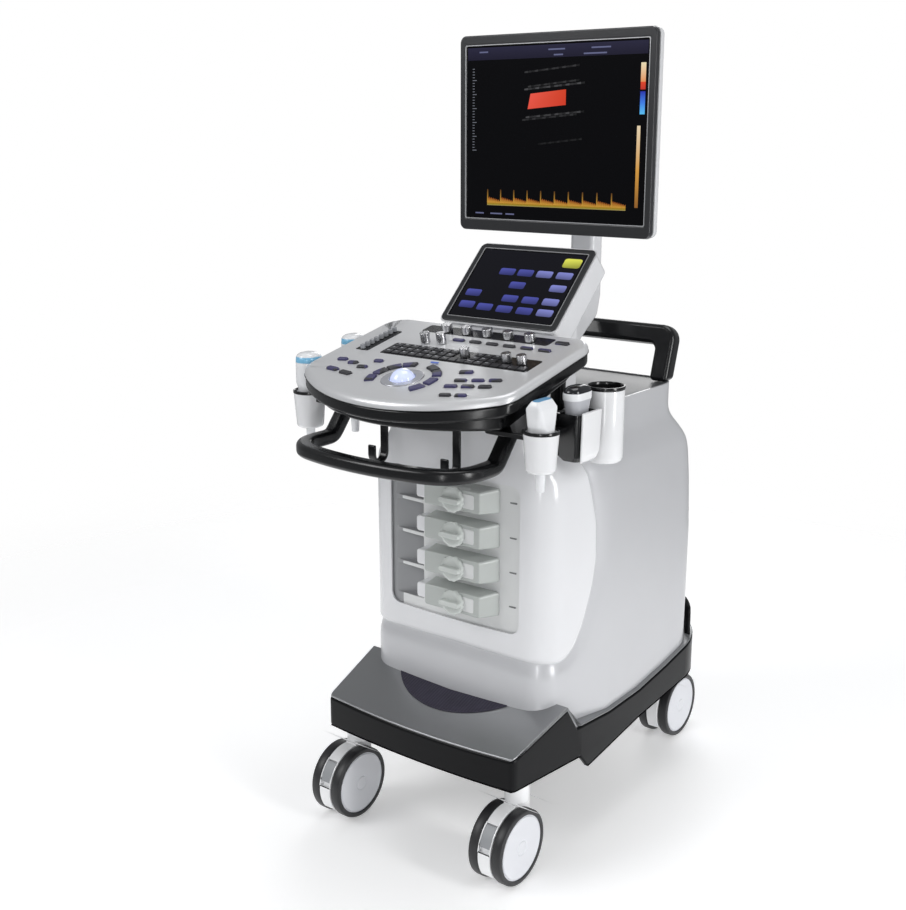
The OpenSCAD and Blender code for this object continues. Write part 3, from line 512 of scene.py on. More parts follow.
def front_grid(columns=64, rows=80):
    """Front cover as rows of points over its whole width, which are densest along its rolled edge."""
    grid = []
    for t in np.linspace(0, 1, rows) ** 1.6:
        edge_run, edge_z = seam_point(SEAM_CORNER + t * (seam_length[-1] - SEAM_CORNER))
        half = []
        for s in 1 - (1 - np.linspace(0, 1, columns)) ** 1.7:
            low_run, low_z = seam_point(s * SEAM_CORNER)
            top_run, top_z = s * seam_run[-1], BODY_TOP
            corner_run, corner_z = seam_point(SEAM_CORNER)
            along = (1 - t) * low_run + t * top_run + s * edge_run \
                - (1 - t) * s * corner_run - t * s * seam_run[-1]
            z = (1 - t) * low_z + t * top_z + (1 - s) * ((1 - t) * SEAM[0][1] + t * BODY_TOP) + s * edge_z \
                - (1 - t) * ((1 - s) * SEAM[0][1] + s * corner_z) - t * BODY_TOP
            gap = from_seam(along, z) if t < 0.999 or s > 0.9 else ROLL
            inset = ROLL - sqrt(max(ROLL ** 2 - max(ROLL - gap, 0) ** 2, 0))
            half.append((along, z, inset))
        grid.append([on_body(-1, *p) for p in half[:0:-1]] + [on_body(1, *p) for p in half])
    return skin(grid, closed=False, caps=False)


def side_grid(side):
    """Side cover: a low band from the middle of the front, and the panel behind the seam."""
    def point(along, z):
        gap = from_seam(along, z)
        inside = z > np.interp(along, seam_path[:4, 0], seam_path[:4, 1]) if along < seam_path[3, 0] else \
            along < np.interp(z, SEAM[3:, 1], seam_run[3:])
        depth = TUCK if inside else TUCK * max(0, 1 - gap / 0.03) ** 2
        return on_body(side, along, z, depth)

    last = run_at(REAR_SEAM)
    tucked = 7 * MM
    corner_run = seam_run[3] - tucked
    fore = np.linspace(0, corner_run, 40)
    aft = corner_run + (last - corner_run) * np.linspace(0, 1, 60) ** 1.3
    columns = np.concatenate([fore, aft[1:]])

    def band_top(along):
        return np.interp(along, seam_path[:4, 0], seam_path[:4, 1]) + tucked

    low = []
    for t in np.linspace(0, 1, 14):
        row = []
        for along in columns:
            y = np.interp(along, PLAN_RUN, PLAN_Y)
            base = np.interp(y, *DECK) + SEAT
            row.append(point(along, base + t * (band_top(along) - base)))
        low.append(row)
    high = []
    for t in np.linspace(0, 1, 90):
        level = band_top(corner_run) + t * (BODY_TOP - band_top(corner_run))
        first = max(corner_run, np.interp(level, SEAM[3:, 1], seam_run[3:]) - tucked)
        row = []
        for share in (aft - corner_run) / (last - corner_run):
            base = band_top(corner_run + share * (last - corner_run))
            row.append(point(first + share * (last - first), base + t * (BODY_TOP - base)))
        high.append(row)
    return joined(skin(low, closed=False, caps=False), skin(high, closed=False, caps=False))


def rear_grid():
    first, last = run_at(REAR_SEAM), run[-1]
    columns = first + (last - first) * np.linspace(0, 1, 60)
    grid = []
    for t in np.linspace(0, 1, 90):
        row = []
        for side, places in ((1, columns), (-1, columns[-2::-1])):
            for along in places:
                y = np.interp(along, PLAN_RUN, PLAN_Y)
                base = np.interp(y, *DECK) + SEAT
                row.append(on_body(side, along, base + t * (BODY_TOP - base), 0))
        grid.append(row)
    return skin(grid, closed=False, caps=False)


def cut(piece, *tools):
    """Cuts openings in a piece with solids that are then thrown away."""
    for shape in tools:
        tool = built("tool", *shape)
        form = bmesh.new()
        form.from_mesh(tool.data)
        bmesh.ops.recalc_face_normals(form, faces=form.faces)
        form.to_mesh(tool.data)
        form.free()
        opening = piece.modifiers.new("opening", "BOOLEAN")
        opening.object = tool
        opening.solver = "EXACT"
        settle(piece)
        bpy.data.objects.remove(tool)
    shade(piece)


def rounded(width, height, radius, count=10):
    """Rectangle with round corners, as points round its middle."""
    points = []
    for x, y, start in ((1, 1, 0), (-1, 1, 90), (-1, -1, 180), (1, -1, 270)):
        middle = (x * (width / 2 - radius), y * (height / 2 - radius))
        points += list(arc(*middle, radius, start, start + 90, count))
    return points


def upright_block(x, z, width, height, radius, front, back):
    """Rounded block with its outline seen from the front."""
    outline = rounded(width, height, radius)
    return skin([[(x + px, y, z + pz) for px, pz in outline] for y in (front, back)])


cover_white = moulded("cover_white", "white_plastic", (0.74, 0.745, 0.765), 0.2, coat=(0.5, 0.07))
cover_silver = moulded("cover_silver", "side_plastic", (0.56, 0.565, 0.585), 0.34, depth=0.0, metallic=0.2,
                       coat=(0.5, 0.14))

port_low, port_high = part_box("port_panel")
PORT_MIDDLE = (port_low.z + port_high.z) / 2
PORT_W, PORT_H = port_high.x - port_low.x, port_high.z - port_low.z
front_cover = fitted("front_cover_shell", front_grid(), cover_white, "trolley", ("front_cover",),
                     wall=COVER_WALL)
cut(front_cover, upright_block(0, PORT_MIDDLE, PORT_W, PORT_H, 18 * MM, -0.25, -0.1))
for side, label in SIDES:
    fitted(f"side_cover_{label}_shell", side_grid(side), cover_silver, "trolley", (f"side_cover_{label}",),
           wall=COVER_WALL)

io_low, io_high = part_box("rear_io_panel")
io_middle, io_size = (io_low + io_high) / 2, io_high - io_low
rear_cover = fitted("rear_cover_shell", rear_grid(), cover_silver, "trolley", ("rear_cover",),
                    wall=COVER_WALL)
VENTS, VENT_LOW, VENT_PITCH, VENT_W, VENT_H = 8, 0.482, 0.01, 0.14, 0.004
vent_heights = [VENT_LOW + VENT_PITCH * i for i in range(VENTS)]
slots = [upright_block(0, z, VENT_W, VENT_H, 1.9 * MM, 0.26, 0.33) for z in vent_heights]
cut(rear_cover, upright_block(0, io_middle.z, io_size.x, io_size.z, 0.01, 0.28, 0.33), *slots)

# Dark socket head screws hold the side covers under the gel cup
screw_black = moulded("screw_black", "black_plastic", (0.02, 0.02, 0.022), 0.3)
SCREW = in_mm([(-1.5, 0.2), (-1.5, 6), (0.6, 6), (1.2, 5.2), (1.2, 3), (-0.4, 2.7), (-0.4, 0.2)])
SCREW_Y, SCREW_Z = -0.045, 0.668
for side, label in SIDES:
    head = turned(SCREW, on_body(side, run_at(SCREW_Y), SCREW_Z, 0), (side, 0, 0.12), 32)
    fitted(f"cover_screw_{label}", head, screw_black, "trolley", smooth=30)


# ---- Inside ----
# A welded frame of square tube and sheet shelves carries the electronics rack and its boards, the
# power supply and the fan. None of it shows while the covers are on.
zinc = moulded("zinc_plate", "frame_steel", (0.5, 0.505, 0.51), 0.35, metallic=0.9)
green_board = moulded("green_board", "circuit_board", (0.02, 0.11, 0.045), 0.4, mottle=0.15)
fan_black = moulded("fan_black", "fan_plastic", (0.02, 0.02, 0.022), 0.5)
for node, finish, edge in (("inner_frame", zinc, 1.5), ("power_supply", zinc, 1.2),
                           ("electronics_rack", green_board, 0.3), ("control_board", green_board, 0.3),
                           ("cooling_fan", fan_black, 0.4)):
    softened(node, finish, edge * MM, 2)


# ---- Port panel ----
# A pale moulded panel with four scooped bays, one under another, with thin ribs between them. Each bay
# leads the hand to a probe connector, which a round dial locks.
port_pale = moulded("port_pale", "port_plastic", (0.6, 0.615, 0.61), 0.3, coat=(0.3, 0.1))
# Painted shade: the panel's colour turns from pale to dark grey where the scooped bays lie deep behind its
# front, darkening the recesses.
painted_shade_deep = port_pale.place("Y") > BODY_FRONT + 9 * MM
painted_shade_left = port_pale.place("X") < port_high.x - 0.16
port_pale.set("Base Color", port_pale.mix(painted_shade_deep * painted_shade_left, (0.68, 0.69, 0.69), (0.27, 0.275, 0.285)))
port_grey = moulded("port_grey", "connector_plastic", (0.44, 0.465, 0.45), 0.34, coat=(0.2, 0.15))
dial_grey = moulded("dial_grey", "lock_plastic", (0.55, 0.58, 0.56), 0.16, coat=(0.5, 0.06))
mark_dark = moulded("mark_dark", "connector_plastic", (0.16, 0.165, 0.17), 0.4)

lock_boxes = [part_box(f"connector_lock_{i}") for i in range(1, 5)]
dials = [(low + high) / 2 for low, high in lock_boxes]
dial_front = lock_boxes[0][0].y
DIAL_R = (lock_boxes[0][1].x - lock_boxes[0][0].x) / 2
connector_low, connector_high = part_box("probe_connectors")
CONNECTOR_H = lock_boxes[0][1].z - lock_boxes[0][0].z - 12 * MM
BAY_LEFT, BAY_RIGHT, BAY_DEEP = port_low.x + 8 * MM, connector_low.x - 24 * MM, 20 * MM
PORT_PITCH = dials[0].z - dials[1].z
RIB = 7 * MM


def panel_front(x):
    return BODY_FRONT + BOW_R - sqrt(BOW_R ** 2 - x ** 2) + 5 * MM


def panel_grid():
    half, lap, lip = (PORT_PITCH - RIB) / 2, 3 * MM, 0.6 * MM
    columns = [port_low.x - lap, BAY_LEFT]
    columns += list(BAY_LEFT + (BAY_RIGHT - BAY_LEFT) * np.linspace(0.02, 1, 24))
    columns += [BAY_RIGHT + 0.01 * MM] + list(np.linspace(BAY_RIGHT + 2 * MM, port_high.x + lap, 16))
    rows = [port_low.z - lap]
    for dial in reversed(dials):
        rows += [dial.z - half - lip, dial.z - half + lip]
        rows += [dial.z + h * half for h in (-0.8, 0, 0.8)] + [dial.z + half - lip, dial.z + half + lip]
    rows.append(port_high.z + lap)
    grid = []
    for z in rows:
        in_bay = any(abs(z - dial.z) < half for dial in dials)
        row = []
        for x in columns:
            part = (x - BAY_LEFT) / (BAY_RIGHT - BAY_LEFT)
            depth = BAY_DEEP * sin(pi / 2 * part) ** 1.3 if in_bay and 0 < part <= 1 else 0
            row.append((x, panel_front(x) + depth, z))
        grid.append(row)
    return skin(grid, closed=False, caps=False)


fitted("port_panel_moulding", panel_grid(), port_pale, "trolley", ("port_panel",), wall=2 * MM, edge=0.9 * MM,
       angle=45)


def tapered(outline_back, outline_front, back, front):
    """Block between two outlines seen from the front, with its front edge rolled over."""
    pairs = zip(outline_back, outline_front)
    middle = [((bx + fx * 3) / 4, (bz + fz * 3) / 4) for (bx, bz), (fx, fz) in pairs]
    layers = ((back, outline_back), (front + (back - front) * 0.25, middle), (front, outline_front))
    return skin([[(x, y, z) for x, z in outline] for y, outline in layers])


def shifted(outline, x, z):
    return [(px + x, pz + z) for px, pz in outline]


# Depth from the back of a dial's skirt and share of its radius
SKIRT = ((0, 0.86), (0.8, 0.97), (4.5, 1.0), (7, 0.97), (8, 0.88), (8.2, 0.7), (7.4, 0.6), (7.4, 0.02))
MARK_X = 0.118
x = (connector_low.x + connector_high.x) / 2
width = connector_high.x - connector_low.x
back, front = panel_front(0.05) + 2 * MM, connector_low.y
for number, dial in enumerate(dials, 1):
    foot = shifted(rounded(width, CONNECTOR_H + 10 * MM, 5 * MM), x, dial.z)
    face = shifted(rounded(width - 20 * MM, CONNECTOR_H + 4 * MM, 4 * MM), x - 6 * MM, dial.z)
    fitted(f"connector_{number}_body", tapered(foot, face, back, front), port_grey, "trolley",
           ("probe_connectors",), edge=2 * MM, angle=25)
    label = upright_block(x + 27 * MM, dial.z, 24 * MM, 24 * MM, 3 * MM, front - 0.8 * MM, front + 2 * MM)
    fitted(f"connector_{number}_pad", label, port_pale, "trolley", edge=0.5 * MM)
    tab = upright_block(connector_low.x - 9 * MM, dial.z, 22 * MM, 26 * MM, 5 * MM, front + 9 * MM, back)
    fitted(f"connector_{number}_tab", tab, cover_white, "trolley", edge=2.5 * MM)
    dash = upright_block(port_high.x - 15 * MM, dial.z, 13 * MM, 2.4 * MM, 1.1 * MM,
                         panel_front(MARK_X) - 0.6 * MM, panel_front(MARK_X) + MM)
    fitted(f"port_mark_{number}", dash, mark_dark, "trolley")
    # The dial has a scalloped skirt and a grip bar
    rings = []
    for depth, share in SKIRT:
        ring = []
        for turn in np.linspace(0, 2 * pi, 144, endpoint=False):
            reach = DIAL_R * share * (1 - 0.05 * (0.5 + 0.5 * cos(12 * turn)) * (0.8 < share))
            ring.append((dial.x + reach * cos(turn), dial_front + 16.8 * MM - depth * MM,
                         dial.z + reach * sin(turn)))
        rings.append(ring)
    fitted(f"lock_dial_{number}", skin(rings), dial_grey, f"lock_{number}", (f"connector_lock_{number}",),
           smooth=35)
    bar = upright_block(dial.x, dial.z, 2 * DIAL_R - 4 * MM, 9 * MM, 4.2 * MM, dial_front,
                        dial_front + 11 * MM)
    fitted(f"lock_grip_{number}", bar, dial_grey, f"lock_{number}", edge=1.6 * MM)


# ---- Top tray, rear handle and sockets ----
# The body's flat top is a dark tray. A black handle of soft-touch plastic stands at its back, and the
# mains inlet and sockets sit in a panel low on the rear cover.
tray_grey = moulded("tray_grey", "tray_plastic", (0.075, 0.077, 0.082), 0.42, grain=900, depth=0.00006)
handle_black = moulded("handle_black", "black_plastic", (0.005, 0.0052, 0.006), 0.24, grain=1100,
                       specular_ior_level=0.4, coat=(0.15, 0.12))
socket_grey = moulded("socket_grey", "black_plastic", (0.05, 0.052, 0.056), 0.42)


def top_outline(inset, z):
    places = np.linspace(0, run[-1], 120)
    right = [on_body(1, along, z, inset) for along in places]
    return right + [(-x, y, z) for x, y, z in right[-2:0:-1]]


# Inset from the outside of the covers and depth under their top, from the tray's skirt over its rim
TRAY = ((COVER_WALL + 0.5 * MM, 8 * MM), (COVER_WALL + 0.5 * MM, 0.8 * MM), (COVER_WALL + 1.6 * MM, 0),
        (10 * MM, 0), (12 * MM, 2 * MM), (16 * MM, 2.2 * MM))
tray = skin([top_outline(inset, BODY_TOP - depth) for inset, depth in TRAY])
fitted("top_tray", tray, tray_grey, "trolley", ("top_cover",), smooth=35)
softened("rear_handle", handle_black, 9 * MM, 5)
softened("rear_io_panel", socket_grey, 0.7 * MM)


# ---- Console ----
# A white neck carries the console. Its tray is black plastic with a lip all round, and its top is one
# silver-painted moulding with a rolled rim, pierced for the keys, sliders, knobs and trackball.
CONSOLE_TILT = radians(12.4)
console_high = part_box("console_top")[1]


def console_z(y):
    return console_high.z + (y - console_high.y) * tan(CONSOLE_TILT)


def rim_weight(node, inner):
    """Full weight for edges round the outside of a piece's top, and a small one for the rest."""
    corners = [(v.co.x, v.co.y) for v in frame["nodes"][node].data.vertices]
    hull = [Vector(corners[i]) for i in geometry.convex_hull_2d(corners)]
    sides = list(zip(hull, hull[1:] + hull[:1]))

    def weight(middle):
        spot = Vector((middle.x, middle.y))
        gap = min((spot - geometry.intersect_point_line(spot, a, b)[0].to_2d()).length for a, b in sides)
        return 1.0 if gap < MM and middle.z > console_z(middle.y) - 2 * MM else inner

    return weight


console_silver = moulded("console_silver", "console_silver", (0.68, 0.685, 0.7), 0.32, metallic=0.3,
                         coat=(0.35, 0.16))
tray_black = moulded("tray_black", "black_plastic", (0.004, 0.0042, 0.005), 0.22, specular_ior_level=0.4,
                     coat=(0.15, 0.1))
softened("console_column", cover_white, 5 * MM, 4)
softened("console_base", tray_black, 5 * MM, 4)
softened("console_top", console_silver, 9 * MM, 5, weigh=rim_weight("console_top", 0.06))


# ---- Keys and controls ----
# Silicone-backed keys with dark caps, some with a violet cast; eight gain sliders; turned aluminium
# knobs; and a polished trackball, lit from below, in a satin ring.
key_dark = moulded("key_dark", "key_plastic", (0.03, 0.03, 0.034), 0.36)
violet = key_dark.mix(key_dark.noise(26.0, 0.0) > 0.5, (0.03, 0.03, 0.036), (0.05, 0.045, 0.13))
key_dark.set("Base Color", violet)
key_blue = moulded("key_blue", "key_plastic", (0.03, 0.12, 0.6), 0.3)
letter_dark = moulded("letter_dark", "key_plastic", (0.022, 0.022, 0.026), 0.34)
key_print = moulded("key_print", "key_plastic", (0.55, 0.56, 0.6), 0.4)
slider_cap = moulded("slider_cap", "key_plastic", (0.3, 0.31, 0.33), 0.35)
softened("function_keys", key_dark, 1.3 * MM, 3)
softened("letter_keys", letter_dark, 1.0 * MM, 2)
softened("tgc_sliders", slider_cap, 0.8 * MM, 2)


def console_point(x, y, lift):
    """Point over the console's top: lift is along the surface's normal."""
    return Vector((x, y - lift * sin(CONSOLE_TILT), console_z(y) + lift * cos(CONSOLE_TILT)))


def inlay(x, y, width, height, radius, low, high, turn=0.0):
    """Thin rounded plate on the console's top."""
    outline = []
    for px, py in rounded(width, height, radius, 6):
        outline.append((x + px * cos(turn) - py * sin(turn),
                        y + (px * sin(turn) + py * cos(turn)) * cos(CONSOLE_TILT)))
    return skin([[console_point(px, py, lift) for px, py in outline] for lift in (low, high)])


STRIP_X, STRIP_HALF, STRIP_ROWS, STRIP_KEYS = 0.030, 0.138, (-0.221, -0.207, -0.193), 17
# Knobs that stand between the letter keys
ROW_KNOBS = ((-0.063, -0.172), (-0.035, -0.166), (0.041, -0.204), (0.12, -0.204), (0.148, -0.204))
strip_bed = inlay(STRIP_X, STRIP_ROWS[1], 2 * STRIP_HALF + 10 * MM, 48 * MM, 5 * MM, -0.4 * MM, 0.2 * MM)
fitted("letter_strip_bed", strip_bed, tray_black, "trolley", edge=0.3 * MM)
prints = []
for row in STRIP_ROWS:
    for i in range(STRIP_KEYS):
        x = STRIP_X + (i - STRIP_KEYS // 2) * 2 * STRIP_HALF / STRIP_KEYS
        long = 3.2 * MM + 2.4 * MM * ((i * 7 + int(row * -1000)) % 3) / 2
        if any(abs(x - knob_x) < 18 * MM and abs(row - knob_y) < 18 * MM for knob_x, knob_y in ROW_KNOBS):
            continue
        prints.append(inlay(x - 1.5 * MM, row + 2 * MM, long, 1.5 * MM, 0.6 * MM, 1.95 * MM, 2.15 * MM))
fitted("letter_prints", joined(*prints), key_print, "letter_keys")
fitted("blue_key_mark", inlay(0.012, -0.243, 15 * MM, 4.5 * MM, 2 * MM, 1.9 * MM, 2.5 * MM, 0.05), key_blue,
       "function_keys")
fitted("knob_strip", inlay(0.016, -0.113, 0.25, 30 * MM, 6 * MM, -0.3 * MM, 0.45 * MM), tray_black, "trolley",
       edge=0.3 * MM)
fitted("slider_bed", inlay(-0.152, -0.184, 27 * MM, 92 * MM, 4 * MM, -0.3 * MM, 0.4 * MM), tray_black,
       "trolley", edge=0.3 * MM)

knob_silver = moulded("knob_silver", "knob_metal", (0.62, 0.62, 0.635), 0.22, metallic=1.0)
knurl = knob_silver.node("ShaderNodeTexVoronoi", {}, {"Vector": knob_silver.place(), "Scale": 900.0})
knob_silver.bump(knurl, 0.00012)
softened("encoder_knobs", knob_silver, 1.2 * MM, 3)

ball_low, ball_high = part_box("trackball")
ball_middle, ball_r = (ball_low + ball_high) / 2, (ball_high.z - ball_low.z) / 2
ball_resin = moulded("ball_resin", "trackball_resin", (0.62, 0.68, 0.9), 0.08, coat=(0.6, 0.03))
ball_resin.set("Emission Color", (0.6, 0.68, 1.0))
ball_resin.set("Emission Strength", 0.35)
CONSOLE_UP = (0, -sin(CONSOLE_TILT), cos(CONSOLE_TILT))
half_turn = [pi * i / 48 for i in range(49)]
ball = [(-ball_r * cos(turn), max(ball_r * sin(turn), 0.1 * MM)) for turn in half_turn]
fitted("trackball_ball", turned(ball, ball_middle, CONSOLE_UP, 96), ball_resin, "trackball", ("trackball",))
ring_satin = moulded("ring_satin", "ring_metal", (0.55, 0.56, 0.6), 0.25, metallic=0.6)
softened("trackball_ring", ring_satin, 0.6 * MM)


# ---- Front handle and cable hooks ----
# A round-cornered loop of black plastic under the console, which rises at both ends to the brackets
# that hold the probe cups. Two hooks for cables hang behind its bar.
def swept(path, outline):
    """Bar of a given section, as points across and up, along a path."""
    rings = []
    for i, spot in enumerate(path):
        along = (path[min(i + 1, len(path) - 1)] - path[max(i - 1, 0)]).normalized()
        up = (Vector((0, 0, 1)) - along * along.z).normalized()
        across = along.cross(up)
        rings.append([spot + across * a + up * b for a, b in outline])
    return skin(rings)


handle_low, handle_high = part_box("front_handle")
BAR_W, BAR_H = 26 * MM, 22 * MM
bar_half = handle_high.x - BAR_W / 2
bar_front = handle_low.y + BAR_W / 2
bar_z = handle_low.z + BAR_H / 2
LOOP_R, BAR_BOW = 0.062, 0.488
loop_x = bar_half - LOOP_R
loop_y = bar_front + BAR_BOW - sqrt((BAR_BOW - LOOP_R) ** 2 - loop_x ** 2)
bow_edge = degrees(atan2(loop_y - bar_front - BAR_BOW, loop_x))
right_half = [(x, y, bar_z) for x, y in arc(0, bar_front + BAR_BOW, BAR_BOW, -90, bow_edge, 40)]
right_half += [(x, y, bar_z) for x, y in arc(loop_x, loop_y, LOOP_R, bow_edge, 0, 30)[1:]]
right_half += [(bar_half, -0.292, bar_z), (bar_half, handle_high.y - 12 * MM, handle_high.z - 2 * MM)]
rough_bar = np.array([(-x, y, z) for x, y, z in right_half[:0:-1]] + right_half)
bar_run = np.concatenate([[0], np.cumsum(np.linalg.norm(np.diff(rough_bar, axis=0), axis=1))])
smooth_bar = [eased(bar_run, rough_bar[:, axis], 7 * MM, 2 * MM) for axis in range(3)]
kept = (smooth_bar[0][0] >= 0) & (smooth_bar[0][0] <= bar_run[-1])
bar_path = [Vector(p) for p in np.column_stack([table[1][kept] for table in smooth_bar])[::2]]
fitted("front_handle_bar", swept(bar_path, rounded(BAR_W, BAR_H, 7.5 * MM, 8)), handle_black, "trolley",
       ("front_handle",))
softened("cable_hooks", handle_black, 1.8 * MM, 3)


# ---- Touch panel ----
# A white housing behind the keys holds a tilted touch screen in a dark frame. Its picture is a page of
# blue buttons, without lettering.
class Picture:
    """Flat patches of light on a screen, placed by their share of its width and height."""

    def __init__(self, corner, across, up, out):
        self.corner, self.across, self.up, self.out = Vector(corner), Vector(across), Vector(up), Vector(out)
        self.points, self.faces, self.colours = [], [], []

    def patch(self, corners, colours):
        first = len(self.points)
        layer = 1 + (0.1 + len(self.faces) % 5 * 0.05 if self.faces else 0)
        for u, v in corners:
            self.points.append(tuple(self.corner + self.across * u + self.up * v + self.out * layer))
        self.faces.append(tuple(range(first, len(self.points))))
        self.colours.append(colours if isinstance(colours[0], tuple) else [colours] * len(corners))

    def bar(self, left, low, right, high, colour, top_colour=None):
        self.patch([(left, low), (right, low), (right, high), (left, high)],
                   [colour, colour, top_colour or colour, top_colour or colour])

    def button(self, u, v, width, height, colour):
        shape = [(u + x, v + y) for x, y in rounded(width, height, min(width, height) * 0.2, 4)]
        dim = tuple(c * 0.45 for c in colour)
        self.patch(shape, [colour if y > v else dim for _, y in shape])

    def show(self, name, finish, body):
        piece = fitted(name, (self.points, self.faces), finish, body)
        colours = piece.data.color_attributes.new("light", "FLOAT_COLOR", "CORNER")
        table = {}
        for face, tones in zip(self.faces, self.colours):
            for index, tone in zip(face, tones):
                table[tuple(round(c, 6) for c in self.points[index])] = tone
        for loop in piece.data.loops:
            spot = tuple(round(c, 6) for c in piece.data.vertices[loop.vertex_index].co)
            colours.data[loop.index].color = (*table[spot], 1)


screen_glass = moulded("screen_glass", "screen_glass", (0.002, 0.002, 0.003), 0.14, grain=300,
                       depth=0.000002, specular_ior_level=0.12)
lit = Finish("lit_display", "screen_glass", roughness=0.25, specular_ior_level=0.1, emission_strength=1.0)
light = lit.node("ShaderNodeVertexColor", {"layer_name": "light"})
lit.set("Base Color", (0.005, 0.005, 0.006))
lit.set("Emission Color", light)
frame_grey = moulded("frame_grey", "frame_grey", (0.03, 0.031, 0.034), 0.3, metallic=0.3, coat=(0.2, 0.12))
rim_bright = moulded("rim_bright", "frame_grey", (0.55, 0.555, 0.57), 0.25, metallic=0.5)
softened("touch_housing", cover_white, 6 * MM, 4)
softened("touch_bezel", frame_grey, 1.4 * MM, 3)
softened("touch_screen", screen_glass, 0.3 * MM, 1)

TOUCH_TILT = radians(43.8)
glass_low, glass_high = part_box("touch_screen")
slope = Vector((0, cos(TOUCH_TILT), sin(TOUCH_TILT)))
face_out = Vector((0, -sin(TOUCH_TILT), cos(TOUCH_TILT)))
glass_foot = Vector((0, glass_low.y, glass_low.z + 2 * MM * cos(TOUCH_TILT)))
glass_w = glass_high.x - glass_low.x
glass_h = (glass_high.y - glass_low.y - 2 * MM * sin(TOUCH_TILT)) / cos(TOUCH_TILT)
glass_corner = glass_foot + Vector((glass_low.x, 0, 0))
page = Picture(glass_corner + face_out * 0.1 * MM, (glass_w, 0, 0), slope * glass_h, face_out * 0.2 * MM)
BLUE, PALE_BLUE, YELLOW = (0.07, 0.08, 0.36), (0.22, 0.24, 0.6), (0.72, 0.74, 0.1)
page.bar(0.02, 0.02, 0.98, 0.98, (0.0015, 0.0015, 0.003), (0.003, 0.003, 0.006))
for u, v, tone in ((0.34, 0.68, BLUE), (0.515, 0.68, BLUE), (0.695, 0.68, PALE_BLUE), (0.88, 0.68, PALE_BLUE),
                   (0.5, 0.5, BLUE), (0.88, 0.5, PALE_BLUE), (0.5, 0.31, BLUE), (0.69, 0.31, BLUE),
                   (0.88, 0.31, PALE_BLUE), (0.13, 0.35, BLUE), (0.13, 0.18, BLUE), (0.31, 0.165, BLUE),
                   (0.5, 0.16, BLUE), (0.69, 0.16, BLUE), (0.88, 0.16, PALE_BLUE)):
    page.button(u, v, 0.145, 0.095, tone)
page.button(0.89, 0.86, 0.16, 0.13, YELLOW)
page.show("touch_page", lit, "trolley")


def edging(name, corner, across, up, out, inset, thick, finish, body):
    """Bright line round the inside of a screen's frame."""
    corner, across, up, out = Vector(corner), Vector(across), Vector(up), Vector(out)
    middle = corner + across / 2 + up / 2
    rings = []
    for grow, lift in ((0, 0), (0, 1), (-thick, 1), (-thick, 0), (0, 0)):
        spread = 2 * (inset + grow)
        outline = rounded(across.length + spread, up.length + spread, 2.5 * MM, 5)
        rings.append([middle + across.normalized() * x + up.normalized() * y + out * lift
                      for x, y in outline])
    fitted(name, skin(rings, caps=False), finish, body, smooth=30)


edging("touch_edging", glass_corner, (glass_w, 0, 0), slope * glass_h, face_out * 1.2 * MM, 0.2 * MM,
       0.9 * MM, rim_bright, "trolley")


# ---- Probe holders ----
# Black brackets under the console's rim carry white cups with a dark rim ring. On one side a tall gel
# cup with a polished liner and a square-sided holder stand beside the front cup.
cup_white = moulded("cup_white", "holder_plastic", (0.82, 0.825, 0.84), 0.2, coat=(0.5, 0.08))
rim_black = moulded("rim_black", "black_plastic", (0.005, 0.0052, 0.006), 0.2, coat=(0.2, 0.1))
liner_dark = moulded("liner_dark", "holder_plastic", (0.09, 0.09, 0.095), 0.14, metallic=0.85)

right_low, right_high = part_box("probe_holder_right")
left_low, left_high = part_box("probe_holder_left")
CUP_R, GEL_R = 26.5 * MM, 29 * MM
CUP_LOW = left_low.z
CUP_TOP = left_high.z
PLATE_LOW, PLATE_HIGH = 0.738, 0.746
UP = (0, 0, 1)
right_x = right_high.x - GEL_R
gel_y = right_high.y - GEL_R
front_y = right_low.y + CUP_R
left_x = left_low.x + CUP_R
left_front_y = left_low.y + CUP_R
left_rear_y = sum(corner.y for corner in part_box("probe_left_rear")) / 2
square = (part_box("probe_convex")[0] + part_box("probe_convex")[1]) / 2
# Profiles in millimetres: height over the foot, then radius
CUP = in_mm([(0, 8), (0, 17), (1.2, 20.2), (4, 22.2), (58, 26.3), (59.4, 26.3), (60, 25.6), (59.6, 24.2),
             (5, 20), (3.2, 17), (3.2, 8)])
CUP_RIM = in_mm([(59, 23.6), (61.6, 24.2), (62.4, 25.4), (61.8, 26.8), (59.2, 27.2), (57.4, 26.9),
                 (57, 25.8)])
GEL_CUP = in_mm([(0, 0.3), (0, 20), (1.5, 24.5), (5, 27.6), (10, 29), (113, 29), (115, 28.6), (115, 27.4),
                 (4, 27.2), (4, 0.3)])
GEL_LINER = in_mm([(4.2, 0.3), (4.2, 24), (7, 26.4), (116, 26.6), (116, 27.1), (6, 27.05), (3, 24), (3, 0.3)])
GEL_RIM = in_mm([(114, 26.5), (118.5, 26.6), (119.8, 27.6), (119.6, 29), (118, 29.6), (114.5, 29.6),
                 (113.6, 28.6)])


def bracket(name, x_near, x_far, y_front, y_back):
    """Plate with round corners that carries one side's cups."""
    outline = [((x_near + x_far) / 2 + x, (y_front + y_back) / 2 + y)
               for x, y in rounded(abs(x_far - x_near), y_back - y_front, 12 * MM)]
    plate = skin([[(x, y, z) for x, y in outline] for z in (PLATE_LOW, PLATE_HIGH)])
    fitted(name, plate, rim_black, "trolley", edge=1.5 * MM)


def cup(name, x, y, node):
    foot = (x, y, CUP_LOW)
    fitted(name, turned(CUP, foot, UP, 72, True), cup_white, "trolley", (node,), smooth=30)
    fitted(name + "_rim", turned(CUP_RIM, foot, UP, 72, True), rim_black, "trolley", smooth=50)


bracket("bracket_right", 0.14, right_x, front_y - 10 * MM, gel_y + 10 * MM)
bracket("bracket_left", -0.14, left_x, left_front_y - 10 * MM, left_high.y)
cup("cup_right_front", right_x, front_y, "probe_holder_right")
cup("cup_left_front", left_x, left_front_y, "probe_holder_left")
cup("cup_left_rear", left_x, left_rear_y, "probe_holder_left")

